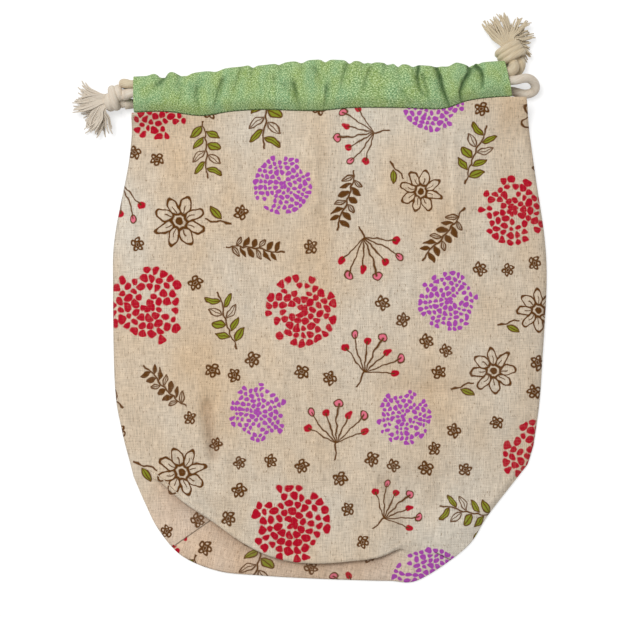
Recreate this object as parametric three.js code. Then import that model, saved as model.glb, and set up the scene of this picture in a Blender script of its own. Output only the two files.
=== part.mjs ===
// Bread bag: a linen drawstring bag with a boxed base, lying on its back with the mouth towards +Y.
// Millimetres. +X runs across the bag, +Y towards the mouth, +Z up from the surface it lies on.
// The origin is the middle of the bag's footprint, drawcords apart.
import * as THREE from 'three';

// Cloth and seams
const CLOTH = 1.0;
const SEAM_GAP = 0.35;
const BACK_SEAM_GAP = 0.7;

// Body: widest width, and length from the mouth seam to the lowest edge of the base
const BODY_WIDTH = 313;
const BODY_LENGTH = 339;
const CROWN = 17.5;
const CROWN_SHARES = [0.2, 0.6];
const CREASE_FADE = 0.12;
const SIDE_ROUNDNESS = 0.36;
const SIDE_SLIT = 30;

// Base fold: the front hangs over the base, which is tucked in under it
const FOLD_RADIUS = 3.0;
const TUCK_RADIUS = 1.9;
const TUCK_DEPTH = 16;
const BASE_RISE = 2.4;
const PLAIN_EDGE_HEIGHT = 8;
const PLAIN_EDGE_ROUNDNESS = 1.5;
const FOLD_GROW_SHARES = [0.06, 0.2];
const FOLD_END_SHARES = [0.66, 0.78];

// Casing: the gathered band round the mouth that holds the drawcords
const CASING_DEPTH = 36;
const CASING_WALL = 0.8;
const CASING_INSET_LEFT = 1.4;
const CASING_INSET_RIGHT = 10.9;
const MOUTH_GAP = 6;
const GATHER_LIFT = 1.3;
const GATHER_COUNT = 21;
const GATHER_ROUNDNESS = 0.8;
const RIM_SCALLOP = 1.1;

// Drawcords, their knots and their frayed ends
const CORD_DIAMETER = 5.6;
const CORD_PLAY = 0.3;
const KNOT_LENGTH = 12.6;
const KNOT_RADIUS = 8.8;
const KNOT_FACE_RADIUS = 6.9;
const KNOT_SHOULDER_SHARE = 0.95;
const KNOT_GROOVE_SHARE = 0.9;
const KNOT_STANDOFF = 0.5;
const TASSEL_ROOT_RADIUS = 4.2;
const TASSEL_ROOT_THICKNESS = 9;
const TASSEL_TIP_THICKNESS = 3.2;
const TASSEL_STRANDS = 14;
const TASSEL_RAGGEDNESS = 0.8;
const TASSEL_TAPER = 0.6;

// Mesh fineness
const BODY_COLUMNS = 34;
const UPPER_ROWS = 18;
const FOLD_ANGLES = [45, 0, -45, -90];
const TUCK_ROWS = 3;
const STRIP_ROWS = 5;
const GATHER_STEPS = 3;
const BACK_CASING_STEPS = 24;
const CASING_ARC_STEPS = 4;
const CHANNEL_ARC_STEPS = 3;
const CORD_SIDES = 8;
const STRAIGHT_RINGS = 19;
const KNOT_SIDES = 12;
const TASSEL_RINGS = 3;

// Heights above the surface, from the back cloth upwards
const backZ = CLOTH / 2;
const seamZ = CLOTH * 1.5 + SEAM_GAP;
const stripZ = seamZ + BASE_RISE;
const tuckZ = stripZ + 2 * TUCK_RADIUS;
const foldZ = tuckZ + 2 * FOLD_RADIUS;
const casingThickness = CORD_DIAMETER + 2 * (CORD_PLAY + CASING_WALL);
const backCasingZ = casingThickness / 2;
const frontCasingZ = 1.5 * casingThickness + MOUTH_GAP;

// Lengths along Y
const totalLength = BODY_LENGTH + CASING_DEPTH;
const seamY = totalLength / 2 - CASING_DEPTH;

// Outlines are drawn as shares: across from -1 to 1 of the half width, down from 0 to 1 of the body length.
const halfWidth = BODY_WIDTH / 2;
const placeAt = ([across, down]) => new THREE.Vector2(across * halfWidth, seamY - down * BODY_LENGTH);
const outline = (shares) => new THREE.SplineCurve(shares.map(placeAt));

// Mouth seam, where the panels meet the casing, from left to right
const mouthSeam = outline([
  [-0.908, 0.006], [-0.752, 0.004], [-0.591, 0.013], [-0.453, 0.004],
  [-0.306, 0], [-0.154, 0.002], [-0.039, 0.002],
  [0.108, -0.004], [0.329, -0.004], [0.513, -0.002], [0.632, -0.019], [0.766, -0.027], [0.899, -0.028],
]);

// Edge of the base fold on the front
const foldEdge = outline([
  [-0.922, 0.747], [-0.802, 0.773], [-0.683, 0.826], [-0.549, 0.868],
  [-0.398, 0.917], [-0.246, 0.949], [-0.076, 0.96],
  [0.099, 0.955], [0.237, 0.945], [0.347, 0.915], [0.54, 0.888], [0.715, 0.839], [0.94, 0.711],
]);

// Lower edge of the bag, below and outside the fold
const baseEdge = outline([
  [-0.903, 0.781], [-0.853, 0.834], [-0.789, 0.892], [-0.683, 0.947],
  [-0.517, 0.979], [-0.338, 0.988], [-0.131, 0.994],
  [0.09, 0.998], [0.274, 1], [0.411, 0.998], [0.63, 0.929], [0.735, 0.857], [0.913, 0.752],
]);

const leftSide = outline([
  [-0.908, 0.006], [-0.926, 0.106], [-0.991, 0.265], [-1, 0.372],
  [-0.991, 0.584], [-0.959, 0.679], [-0.922, 0.747],
]);

const rightSide = outline([
  [0.899, -0.028], [0.949, 0.138], [0.991, 0.27], [1, 0.372], [0.982, 0.52], [0.967, 0.62], [0.94, 0.711],
]);

// Upper edge of the casing, as shares across the half width and of the casing's depth above the seam line
const rim = new THREE.SplineCurve([
  [-0.908, 0.67], [-0.761, 0.7], [-0.6, 0.76], [-0.453, 0.85], [-0.306, 0.9], [-0.154, 0.98], [-0.03, 1.01],
  [0.117, 0.985], [0.329, 0.92], [0.513, 0.88], [0.618, 0.92], [0.738, 0.97], [0.853, 1],
].map(([across, up]) => new THREE.Vector2(across * halfWidth, seamY + up * CASING_DEPTH)));

const mix = THREE.MathUtils.lerp;
const smooth = THREE.MathUtils.smoothstep;

// Share of the full fold at a place across the bag: it dies out towards both sides.
const foldShare = (u) => smooth(u, ...FOLD_GROW_SHARES) * (1 - smooth(u, ...FOLD_END_SHARES));

// From the fold edge straight out to the lower edge of the bag
const baseSpan = (u) => baseEdge.getPoint(u).sub(foldEdge.getPoint(u));

// Where the front starts to turn over into the fold, its radius inside the fold edge
function foldStart(u) {
  return foldEdge.getPoint(u).addScaledVector(baseSpan(u).normalize(), -FOLD_RADIUS * foldShare(u));
}

// Plan of the body between the mouth seam and the fold, as a patch between its four borders
function upperPlan(u, v) {
  const top = mouthSeam.getPoint(u);
  const bottom = foldStart(u);
  const left = leftSide.getPoint(v);
  const right = rightSide.getPoint(v);
  const blend = (key) => {
    const across = mix(left[key], right[key], u);
    const down = mix(top[key], bottom[key], v);
    const corners = mix(
      mix(mouthSeam.getPoint(0)[key], mouthSeam.getPoint(1)[key], u),
      mix(foldEdge.getPoint(0)[key], foldEdge.getPoint(1)[key], u),
      v,
    );
    return across + down - corners;
  };
  return new THREE.Vector2(blend('x'), blend('y'));
}

// Broad soft creases of the front, drawn as shares like the outlines: ridges above zero height, dips below
const creases = [
  { from: [-0.683, 0.616], to: [-0.522, 0.807], height: 1.6, width: 15 },
  { from: [-0.522, 0.807], to: [-0.3, 0.9], height: 1.4, width: 14 },
  { from: [-0.56, 0.63], to: [-0.53, 0.7], height: -2.0, width: 9 },
  { from: [-0.338, 0.3], to: [-0.338, 0.49], height: -1.5, width: 15 },
  { from: [-0.085, 0.05], to: [-0.062, 0.17], height: 1.2, width: 12 },
  { from: [0.559, 0.06], to: [0.559, 0.32], height: 1.3, width: 12 },
  { from: [0.26, 0.588], to: [0.743, 0.588], height: -1.1, width: 13 },
  { from: [0.329, 0.79], to: [0.467, 0.85], height: -1.6, width: 15 },
].map(({ from, to, height, width }) => ({ start: placeAt(from), end: placeAt(to), height, width }));

// Height that the creases add; they fade out towards the mouth and the fold.
function creaseHeight(u, v) {
  const plan = upperPlan(u, v);
  const fade = smooth(v, 0, CREASE_FADE) * (1 - smooth(v, 1 - CREASE_FADE, 1));
  let sum = 0;
  for (const { start, end, height, width } of creases) {
    const span = end.clone().sub(start);
    const along = THREE.MathUtils.clamp(plan.clone().sub(start).dot(span) / span.lengthSq(), 0, 1);
    const distance = plan.distanceTo(start.clone().addScaledVector(span, along));
    sum += height * Math.exp(-((distance / width) ** 2));
  }
  return sum * fade;
}

// Height of the front's middle surface above the patch
function upperHeight(u, v) {
  const below = v * BODY_LENGTH;
  const side = mix(frontCasingZ, seamZ, smooth(below, 0, SIDE_SLIT));
  const edge = mix(PLAIN_EDGE_HEIGHT, foldZ, foldShare(u));
  const [crownStart, crownEnd] = CROWN_SHARES;
  const crown = mix(frontCasingZ, CROWN, smooth(v, 0, crownStart));
  const middle = mix(crown, edge, smooth(v, crownEnd, 1)) + creaseHeight(u, v);
  const fullness = (4 * u * (1 - u)) ** SIDE_ROUNDNESS;
  return mix(side, middle, fullness);
}

// Section of the base below the fold edge: outward distance and height, one pair for each row.
// The folded section turns under, runs in by the tuck's depth, and comes out again as the base strip.
function baseSection(u, width) {
  const share = foldShare(u);
  const start = upperHeight(u, 1);
  const inner = TUCK_RADIUS - TUCK_DEPTH;
  const folded = [
    ...FOLD_ANGLES.map((degrees) => {
      const angle = THREE.MathUtils.degToRad(degrees);
      return [FOLD_RADIUS * (Math.cos(angle) - 1), foldZ - FOLD_RADIUS * (1 - Math.sin(angle))];
    }),
    [inner, tuckZ],
    [inner - TUCK_RADIUS, tuckZ - TUCK_RADIUS],
    [inner, stripZ],
  ];
  for (let row = 1; row <= STRIP_ROWS; row += 1) {
    const along = row / STRIP_ROWS;
    folded.push([mix(inner, width, along), mix(stripZ, seamZ, along * along)]);
  }
  return folded.map(([out, height], index) => {
    const along = (index + 1) / folded.length;
    const plainHeight = mix(start, seamZ, along ** PLAIN_EDGE_ROUNDNESS);
    return [mix(width * along, out, share), mix(plainHeight, height, share)];
  });
}

const BASE_ROWS = FOLD_ANGLES.length + TUCK_ROWS + STRIP_ROWS;
const BODY_ROWS = UPPER_ROWS + BASE_ROWS;

// Middle surface of the front at a column and a row of its grid
function frontPoint(column, row) {
  const u = column / BODY_COLUMNS;
  if (row <= UPPER_ROWS) {
    const v = row / UPPER_ROWS;
    const plan = upperPlan(u, v);
    return new THREE.Vector3(plan.x, plan.y, upperHeight(u, v));
  }
  const outward = baseSpan(u);
  const width = outward.length();
  const [out, height] = baseSection(u, width)[row - UPPER_ROWS - 1];
  const plan = foldEdge.getPoint(u).addScaledVector(outward, out / width);
  return new THREE.Vector3(plan.x, plan.y, height);
}

// Middle surface of the back: flat on the surface, and raised at the top to the back casing's lower edge
function backPoint(column, row) {
  const u = column / BODY_COLUMNS;
  const v = Math.min(row / UPPER_ROWS, 1);
  const rise = mix(backCasingZ, backZ, smooth(v * BODY_LENGTH, 0, SIDE_SLIT));
  const plan = upperPlan(u, v);
  if (row > UPPER_ROWS) {
    plan.lerp(baseEdge.getPoint(u), (row - UPPER_ROWS) / BASE_ROWS);
  }
  return new THREE.Vector3(plan.x, plan.y, rise);
}

// A cloth panel: a flat block bent on to a grid of points, half the cloth to each side of them
function panelGeometry(point, columns, rows, stride) {
  const geometry = new THREE.BoxGeometry(1, 1, 1, columns, rows, 1);
  const position = geometry.attributes.position;
  const lastColumn = columns * stride;
  const lastRow = rows * stride;
  for (let index = 0; index < position.count; index += 1) {
    const column = Math.round((position.getX(index) + 0.5) * columns) * stride;
    const row = Math.round((0.5 - position.getY(index)) * rows) * stride;
    const across = point(Math.min(column + 1, lastColumn), row).sub(point(Math.max(column - 1, 0), row));
    const up = point(column, Math.max(row - 1, 0)).sub(point(column, Math.min(row + 1, lastRow)));
    const normal = across.cross(up).normalize();
    const place = point(column, row).addScaledVector(normal, Math.sign(position.getZ(index)) * CLOTH * 0.5);
    position.setXYZ(index, place.x, place.y, place.z);
  }
  return geometry;
}

// Outline of a flattened tube: two straight sides and two round ends, from the lower end round
function tubeOutline(depth, thickness, arcSteps) {
  const radius = thickness / 2;
  const points = [];
  for (const end of [1, -1]) {
    for (let step = 0; step <= arcSteps; step += 1) {
      const angle = Math.PI * (step / arcSteps - 0.5);
      points.push(new THREE.Vector2(
        end * (depth / 2 - radius + radius * Math.cos(angle)),
        end * radius * Math.sin(angle),
      ));
    }
    points.push(new THREE.Vector2(0, end * radius));
  }
  return points;
}

// How far the upper wall of the casing rises between its gathers
const gather = (u) => Math.abs(Math.sin(Math.PI * GATHER_COUNT * u)) ** GATHER_ROUNDNESS;

// Where the casing starts and stops along the mouth seam
const casingStart = mouthSeam.getUtoTmapping(CASING_INSET_LEFT / mouthSeam.getLength());
const casingEnd = mouthSeam.getUtoTmapping(1 - CASING_INSET_RIGHT / mouthSeam.getLength());

// A casing: a flattened tube open at both ends, bent between the mouth seam and the rim
function casingGeometry({ centreZ, steps, gap, lift, scallop }) {
  const nominal = CASING_DEPTH;
  const section = new THREE.Shape(tubeOutline(nominal, casingThickness, CASING_ARC_STEPS));
  const channelDepth = nominal - 2 * CASING_WALL;
  const channelThickness = casingThickness - 2 * CASING_WALL;
  section.holes.push(new THREE.Path(tubeOutline(channelDepth, channelThickness, CHANNEL_ARC_STEPS)));
  const geometry = new THREE.ExtrudeGeometry(section, { depth: 1, steps, bevelEnabled: false });
  const position = geometry.attributes.position;
  for (let index = 0; index < position.count; index += 1) {
    const along = position.getZ(index);
    const u = mix(casingStart, casingEnd, along);
    const lower = mouthSeam.getPoint(u);
    const upper = rim.getPoint(u);
    const rise = upper.clone().sub(lower);
    const depth = rise.length() - gap;
    const up = rise.normalize();
    const across = position.getX(index);
    const wave = gather(along);
    const fromSeam = across < 0 ? across + nominal / 2 : depth - (nominal / 2 - across);
    const reach = across === 0 ? depth / 2 : fromSeam;
    const scalloped = reach + (across > 0 ? scallop * (wave - 1) * 0.5 : 0);
    const plan = lower.addScaledVector(up, gap + scalloped);
    const height = position.getY(index);
    const raised = height > 0 ? lift * wave * (height / (casingThickness / 2)) : 0;
    position.setXYZ(index, plan.x, plan.y, centreZ + height + raised);
  }
  return geometry;
}

// A curve whose steps fall on its own points, so that bends keep the points chosen for them
class RouteCurve extends THREE.CatmullRomCurve3 {
  getPointAt(share, target) {
    return this.getPoint(share, target);
  }

  getTangentAt(share, target) {
    return this.getTangent(share, target);
  }
}

const toPoints = (route) => route.map(([x, y, z]) => new THREE.Vector3(x, y, z));

// Evenly spaced points strictly between two ends of a straight stretch
function straight(from, to) {
  const points = [];
  for (let ring = 1; ring < STRAIGHT_RINGS; ring += 1) {
    points.push(new THREE.Vector3(...from).lerp(new THREE.Vector3(...to), ring / STRAIGHT_RINGS).toArray());
  }
  return points;
}

function cordGeometry(route) {
  const section = new THREE.Shape();
  for (let side = 0; side < CORD_SIDES; side += 1) {
    const angle = (2 * Math.PI * side) / CORD_SIDES;
    const place = [0.5 * CORD_DIAMETER * Math.cos(angle), 0.5 * CORD_DIAMETER * Math.sin(angle)];
    if (side === 0) {
      section.moveTo(...place);
    } else {
      section.lineTo(...place);
    }
  }
  const extrudePath = new RouteCurve(toPoints(route), false, 'centripetal');
  return new THREE.ExtrudeGeometry(section, { steps: route.length - 1, extrudePath, bevelEnabled: false });
}

// Left drawcord: both ends come out at the left, and its loop stands out of the casing at the right.
const LEFT_CORD_FRONT = [[-140.6, 163.66, frontCasingZ], [126.4, 172.5, frontCasingZ]];
const LEFT_CORD_BACK = [[126.4, 166.2, backCasingZ], [-140.6, 157.17, backCasingZ]];
const leftCordRoute = [
  [-148.7, 162.67, 12.55], [-147.2, 162.88, 12.6], [-145.9, 163.1, 13.3], [-144.8, 163.3, 14.7],
  [-143.7, 163.5, 16.3], [-142.2, 163.6, 17.4],
  LEFT_CORD_FRONT[0], ...straight(...LEFT_CORD_FRONT), LEFT_CORD_FRONT[1],
  [130.5, 172.7, 17.7], [134.5, 173.2, 17.4], [138.6, 174.3, 16.1], [142.3, 174.5, 14.0],
  [145.5, 173.2, 11.6], [147.6, 170.8, 9.3], [148.1, 168.1, 7.4], [146.9, 165.9, 5.8],
  [144.0, 164.5, 4.8], [140.2, 164.2, 4.2], [136.0, 165.2, 3.95], [131.4, 166.25, 3.9],
  LEFT_CORD_BACK[0], ...straight(...LEFT_CORD_BACK), LEFT_CORD_BACK[1],
  [-142.4, 157.15, 4.05], [-144.3, 157.15, 4.8], [-146.2, 157.1, 5.5], [-147.9, 156.93, 5.75],
];

// Right drawcord: both ends come out at the right, and its short loop shows at the left.
const RIGHT_CORD_FRONT = [[126.6, 179.0, frontCasingZ], [-140.6, 170.1, frontCasingZ]];
const RIGHT_CORD_BACK = [[-140.6, 168.5, backCasingZ], [126.6, 177.4, backCasingZ]];
const rightCordRoute = [
  [130.9, 185.95, 12.1], [131.75, 184.53, 12.15], [132.1, 182.9, 13.1], [131.6, 181.2, 14.8],
  [130.2, 179.8, 16.5], [128.4, 179.1, 17.5],
  RIGHT_CORD_FRONT[0], ...straight(...RIGHT_CORD_FRONT), RIGHT_CORD_FRONT[1],
  [-143.4, 170.15, 17.5], [-145.2, 170.4, 16.8], [-146.7, 170.7, 15.55], [-147.75, 171.0, 14.1],
  [-148.5, 171.15, 11.9], [-148.5, 171.15, 9.7], [-147.75, 170.9, 7.5], [-146.7, 170.4, 6.05],
  [-145.2, 169.7, 4.8], [-143.4, 169.0, 4.1],
  RIGHT_CORD_BACK[0], ...straight(...RIGHT_CORD_BACK), RIGHT_CORD_BACK[1],
  [129.9, 177.7, 3.9], [132.8, 178.6, 4.2], [135.2, 180.5, 4.7], [136.7, 182.8, 5.3], [137.3, 185.2, 6.1],
  [137.08, 187.34, 6.55], [136.05, 189.05, 6.6],
];

// A knot of both cord ends: a barrel with a groove between its two wraps, its axis along the cord
function knotGeometry() {
  const half = KNOT_LENGTH / 2;
  const shoulder = KNOT_RADIUS * KNOT_SHOULDER_SHARE;
  const profile = [
    [0, -half], [KNOT_FACE_RADIUS, -half], [shoulder, -half * 0.75], [KNOT_RADIUS, -half * 0.45],
    [KNOT_RADIUS * KNOT_GROOVE_SHARE, 0],
    [KNOT_RADIUS, half * 0.45], [shoulder, half * 0.75], [KNOT_FACE_RADIUS, half], [0, half],
  ];
  const points = profile.map(([radius, along]) => new THREE.Vector2(radius, along));
  return new THREE.LatheGeometry(points, KNOT_SIDES);
}

// A frayed end: a fan of yarns that starts at the knot and sinks to the surface, with ragged tips
function tasselGeometry({ spread, reach, rootZ, tipZ }) {
  const geometry = new THREE.BoxGeometry(1, 1, 1, TASSEL_STRANDS, TASSEL_RINGS, 1);
  const position = geometry.attributes.position;
  for (let index = 0; index < position.count; index += 1) {
    const across = position.getX(index) * -1;
    const out = 0.5 - position.getY(index);
    const strand = Math.round((position.getX(index) + 0.5) * TASSEL_STRANDS);
    const tip = reach * (strand % 2 === 0 ? 1 : TASSEL_RAGGEDNESS);
    const radius = mix(TASSEL_ROOT_RADIUS, tip, out);
    const angle = THREE.MathUtils.degToRad(across * spread);
    const thickness = mix(TASSEL_ROOT_THICKNESS, TASSEL_TIP_THICKNESS, out ** TASSEL_TAPER);
    const centre = mix(rootZ, tipZ, smooth(out, 0, 1));
    const height = centre + position.getZ(index) * thickness;
    position.setXYZ(index, radius * Math.sin(-angle), -radius * Math.cos(angle), height);
  }
  return geometry;
}

// Materials
const linen = new THREE.MeshStandardMaterial({ color: 0xcfc1a8, roughness: 0.92, metalness: 0 });
const greenLinen = new THREE.MeshStandardMaterial({ color: 0x98b57c, roughness: 0.9, metalness: 0 });
const cotton = new THREE.MeshStandardMaterial({ color: 0xdcc9ac, roughness: 0.88, metalness: 0 });

const bag = new THREE.Group();

function add(name, geometry, material) {
  const mesh = new THREE.Mesh(geometry, material);
  mesh.name = name;
  bag.add(mesh);
  return mesh;
}

add('front_panel', panelGeometry(frontPoint, BODY_COLUMNS, BODY_ROWS, 1), linen);
add('back_panel', panelGeometry(backPoint, BODY_COLUMNS / 2, BODY_ROWS / 2, 2), linen);
add('casing_front', casingGeometry({
  centreZ: frontCasingZ,
  steps: GATHER_COUNT * GATHER_STEPS,
  gap: SEAM_GAP,
  lift: GATHER_LIFT,
  scallop: RIM_SCALLOP,
}), greenLinen);
add('casing_back', casingGeometry({
  centreZ: backCasingZ,
  steps: BACK_CASING_STEPS,
  gap: BACK_SEAM_GAP,
  lift: 0,
  scallop: 0,
}), greenLinen);
add('drawcord_left', cordGeometry(leftCordRoute), cotton);
add('drawcord_right', cordGeometry(rightCordRoute), cotton);

// Each knot joins both ends of its cord: which way the cord runs on, and how its frayed end fans out
const knotHeight = KNOT_RADIUS + SEAM_GAP;
const cordEnds = [
  { side: 'left', route: leftCordRoute, heading: 188, fan: { heading: 208, spread: 126, reach: 27 } },
  { side: 'right', route: rightCordRoute, heading: 121, fan: { heading: 94, spread: 138, reach: 24 } },
];

for (const { side, route, heading, fan } of cordEnds) {
  const along = THREE.MathUtils.degToRad(heading);
  const onward = new THREE.Vector3(Math.cos(along), Math.sin(along), 0);
  const [first, last] = toPoints([route[0], route[route.length - 1]]);
  const place = first.lerp(last, 0.5).addScaledVector(onward, KNOT_LENGTH / 2 + KNOT_STANDOFF);
  const knot = add(`knot_${side}`, knotGeometry(), cotton);
  knot.position.set(place.x, place.y, knotHeight);
  knot.rotation.z = along - Math.PI / 2;
  const lean = THREE.MathUtils.degToRad(Math.abs(fan.heading - heading) + fan.spread / 2);
  const reach = KNOT_LENGTH / 2 + SEAM_GAP - TASSEL_ROOT_RADIUS * Math.cos(lean);
  const tassel = add(`tassel_${side}`, tasselGeometry({
    spread: fan.spread,
    reach: fan.reach,
    rootZ: knotHeight,
    tipZ: TASSEL_TIP_THICKNESS / 2 + SEAM_GAP,
  }), cotton);
  tassel.position.set(place.x + reach * onward.x, place.y + reach * onward.y, 0);
  tassel.rotation.z = THREE.MathUtils.degToRad(fan.heading) + Math.PI / 2;
}

export default bag;
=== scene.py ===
"""Looks of a linen drawstring bread bag that lies on its back: cloth, casing, drawcords, knots, frayed ends.

Metres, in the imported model's frame: +X across the bag, +Y towards the mouth, +Z up from the surface below it.
"""
import logging
import math
import random
from dataclasses import dataclass, field
from enum import Enum, IntEnum
from functools import cached_property, lru_cache
from itertools import accumulate
from typing import Callable, Sequence, TypeVar

import bmesh
import bpy
from bmesh.types import BMesh, BMLayerItem, BMVert
from bpy.types import ID, Material, Node, NodeSocket, Object, World
from mathutils import Matrix, Vector, noise


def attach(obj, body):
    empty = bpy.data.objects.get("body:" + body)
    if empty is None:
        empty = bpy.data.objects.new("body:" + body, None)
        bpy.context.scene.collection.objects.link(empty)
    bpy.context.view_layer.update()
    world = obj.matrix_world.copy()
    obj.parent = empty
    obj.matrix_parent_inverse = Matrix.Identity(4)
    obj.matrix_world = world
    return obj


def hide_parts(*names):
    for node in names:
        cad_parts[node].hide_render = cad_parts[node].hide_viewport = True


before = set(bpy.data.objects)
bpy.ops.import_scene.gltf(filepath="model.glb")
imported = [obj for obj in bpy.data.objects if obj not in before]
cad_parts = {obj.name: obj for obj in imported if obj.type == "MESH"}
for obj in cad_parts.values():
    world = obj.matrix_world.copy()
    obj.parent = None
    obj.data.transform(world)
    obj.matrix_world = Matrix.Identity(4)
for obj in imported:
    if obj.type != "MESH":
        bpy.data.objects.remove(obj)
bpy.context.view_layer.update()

LOG = logging.getLogger("bread_bag")
MM = 0.001
TURN = 2 * math.pi
TINY = 1e-9
WELD = 1e-6
NEGLIGIBLE = 0.01
HALF_GRID = 0.5

Pair = tuple[float, float]
Triple = tuple[float, float, float]
Line = tuple[Pair, ...]
Colour = tuple[float, float, float, float]
Mixed = TypeVar("Mixed", float, Vector)


def mix(first: Mixed, second: Mixed, share: float) -> Mixed:
    """The value a share of the way from first to second."""
    return first + (second - first) * share


def mix_places(first: Pair, second: Pair, share: float) -> Pair:
    """The place a share of the way from first to second."""
    return mix(first[0], second[0], share), mix(first[1], second[1], share)


def clamp(value: float, low: float = 0.0, high: float = 1.0) -> float:
    """The value, kept between two limits."""
    return min(max(value, low), high)


def smooth(value: float, low: float, high: float) -> float:
    """A soft step from 0 at low to 1 at high."""
    share = clamp((value - low) / (high - low))
    return share * share * (3 - 2 * share)


def cubic(start: Mixed, end: Mixed, leave: Mixed, arrive: Mixed, share: float) -> Mixed:
    """A point of a smooth stretch between two points.

    Args:
        start, end: the two points.
        leave, arrive: the slopes at them, over a whole stretch.
        share: 0 at the start and 1 at the end.

    Returns:
        The point.
    """
    third = (2 * start - 2 * end + leave + arrive) * share
    return ((third - 3 * start + 3 * end - 2 * leave - arrive) * share + leave) * share + start


def way(start: Pair, end: Pair) -> Triple:
    """The straight way from one place in plan to another.

    Args:
        start, end: the two places.

    Returns:
        Both coordinates of its direction, and its length.
    """
    (x0, y0), (x1, y1) = start, end
    length = math.hypot(x1 - x0, y1 - y0)
    return (x1 - x0) / length, (y1 - y0) / length, length


def rotated(x: float, y: float, angle: float) -> Pair:
    """A place turned about the origin."""
    cos, sin = math.cos(angle), math.sin(angle)
    return x * cos - y * sin, x * sin + y * cos


def dye(red: int, green: int, blue: int) -> Colour:
    """Linear colour of a dye given in 0 to 255 as it looks on a screen.

    Args:
        red, green, blue: the three display values.

    Returns:
        The colour with full opacity, as shader sockets take it.
    """
    def linear(level: int) -> float:
        """Linear light of one display value."""
        value = level / 255
        return value / 12.92 if value <= 0.04045 else ((value + 0.055) / 1.055) ** 2.4

    return (linear(red), linear(green), linear(blue), 1.0)


class Body(Enum):
    """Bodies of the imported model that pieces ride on."""

    BAG = "bag"
    LEFT_CORD = "left_cord"
    RIGHT_CORD = "right_cord"


class Slot(Enum):
    """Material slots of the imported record."""

    PRINTED_LINEN = "printed_linen"
    GREEN_LINEN = "green_linen"
    COTTON_CORD = "cotton_cord"


class Map(Enum):
    """Maps on the pieces, which their materials read."""

    CLOTH = "cloth"
    MOTIF = "motif"
    MOTIF_KIND = "motif_kind"
    # Distance from a corner seam for its dark line, and the base strip's share of painted warm bounce light.
    SEAM = "seam"
    # Depth of the front's creases, the casing's pleats and the fold's overhang, for painted shade.
    FOLD = "fold"
    YARN = "yarn"

    def on(self, mesh: BMesh) -> BMLayerItem:
        """The mesh's layer of this map, made where it has none."""
        return mesh.loops.layers.uv.get(self.value) or mesh.loops.layers.uv.new(self.value)


@dataclass(frozen=True)
class Ripple:
    """Chance unevenness of slack cloth: its height, its swells to the metre both ways, its layer of noise."""

    height: float
    across: float
    along: float
    layer: float

    def at(self, x: float, y: float) -> float:
        """Height that it adds at a place in plan."""
        return self.height * noise.noise(Vector((x * self.across, y * self.along, self.layer)))


@dataclass(frozen=True, eq=False)
class Outline:
    """A smooth curve in plan through chosen points."""

    points: Line

    @lru_cache(maxsize=None)
    def at(self, share: float) -> Pair:
        """The point a share of the way along.

        Args:
            share: 0 at the first point and 1 at the last.

        Returns:
            The point's x and y.
        """
        last = len(self.points) - 1
        place = clamp(share) * last
        start = min(int(place), last - 1)
        before = self.points[max(start - 1, 0)]
        after = self.points[min(start + 2, last)]
        x, y = (
            cubic(p1, p2, (p2 - p0) / 2, (p3 - p1) / 2, place - start)
            for p0, p1, p2, p3 in zip(before, self.points[start], self.points[start + 1], after))
        return x, y


@dataclass(frozen=True)
class Crease:
    """A soft ridge, or a valley below zero height, along a bent line in plan.

    It may be steeper on one side, have a sharp bottom, and grow shallow towards the line's last point.
    """

    line: Line
    height: float
    width: float
    lean: float = 0.0
    roundness: float = 2.0
    fade: float = 0.0
    felt_widths: float = 6.0

    @cached_property
    def starts(self) -> tuple[float, ...]:
        """Length of the line up to each of its points."""
        lengths = (math.dist(before, after) for before, after in zip(self.line, self.line[1:]))
        return tuple(accumulate(lengths, initial=0.0))

    @cached_property
    def span(self) -> Pair:
        """From where to where across the bag it is felt."""
        felt = self.felt_widths / self.roundness * self.width * (1 + abs(self.lean))
        return min(self.line)[0] - felt, max(self.line)[0] + felt

    def at(self, x: float, y: float) -> float:
        """Height that the crease adds at a place in plan.

        Args:
            x, y: the place.

        Returns:
            The height, below zero in a valley.
        """
        low, high = self.span
        if not low < x < high:
            return 0.0
        nearest, side, gone = math.inf, 0.0, 0.0
        for start, (x0, y0), (x1, y1) in zip(self.starts, self.line, self.line[1:]):
            span_x, span_y = x1 - x0, y1 - y0
            length = math.hypot(span_x, span_y)
            share = clamp(((x - x0) * span_x + (y - y0) * span_y) / length ** 2)
            away = math.hypot(x - x0 - share * span_x, y - y0 - share * span_y)
            if away < nearest:
                nearest = away
                gone = (start + share * length) / self.starts[-1]
                side = (span_x * (y - y0) - span_y * (x - x0)) / (length * max(away, TINY))
        width = self.width * (1 + self.lean * clamp(side, -1.0))
        return self.height * (1 - self.fade * gone) * math.exp(-((nearest / width) ** self.roundness))


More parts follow.
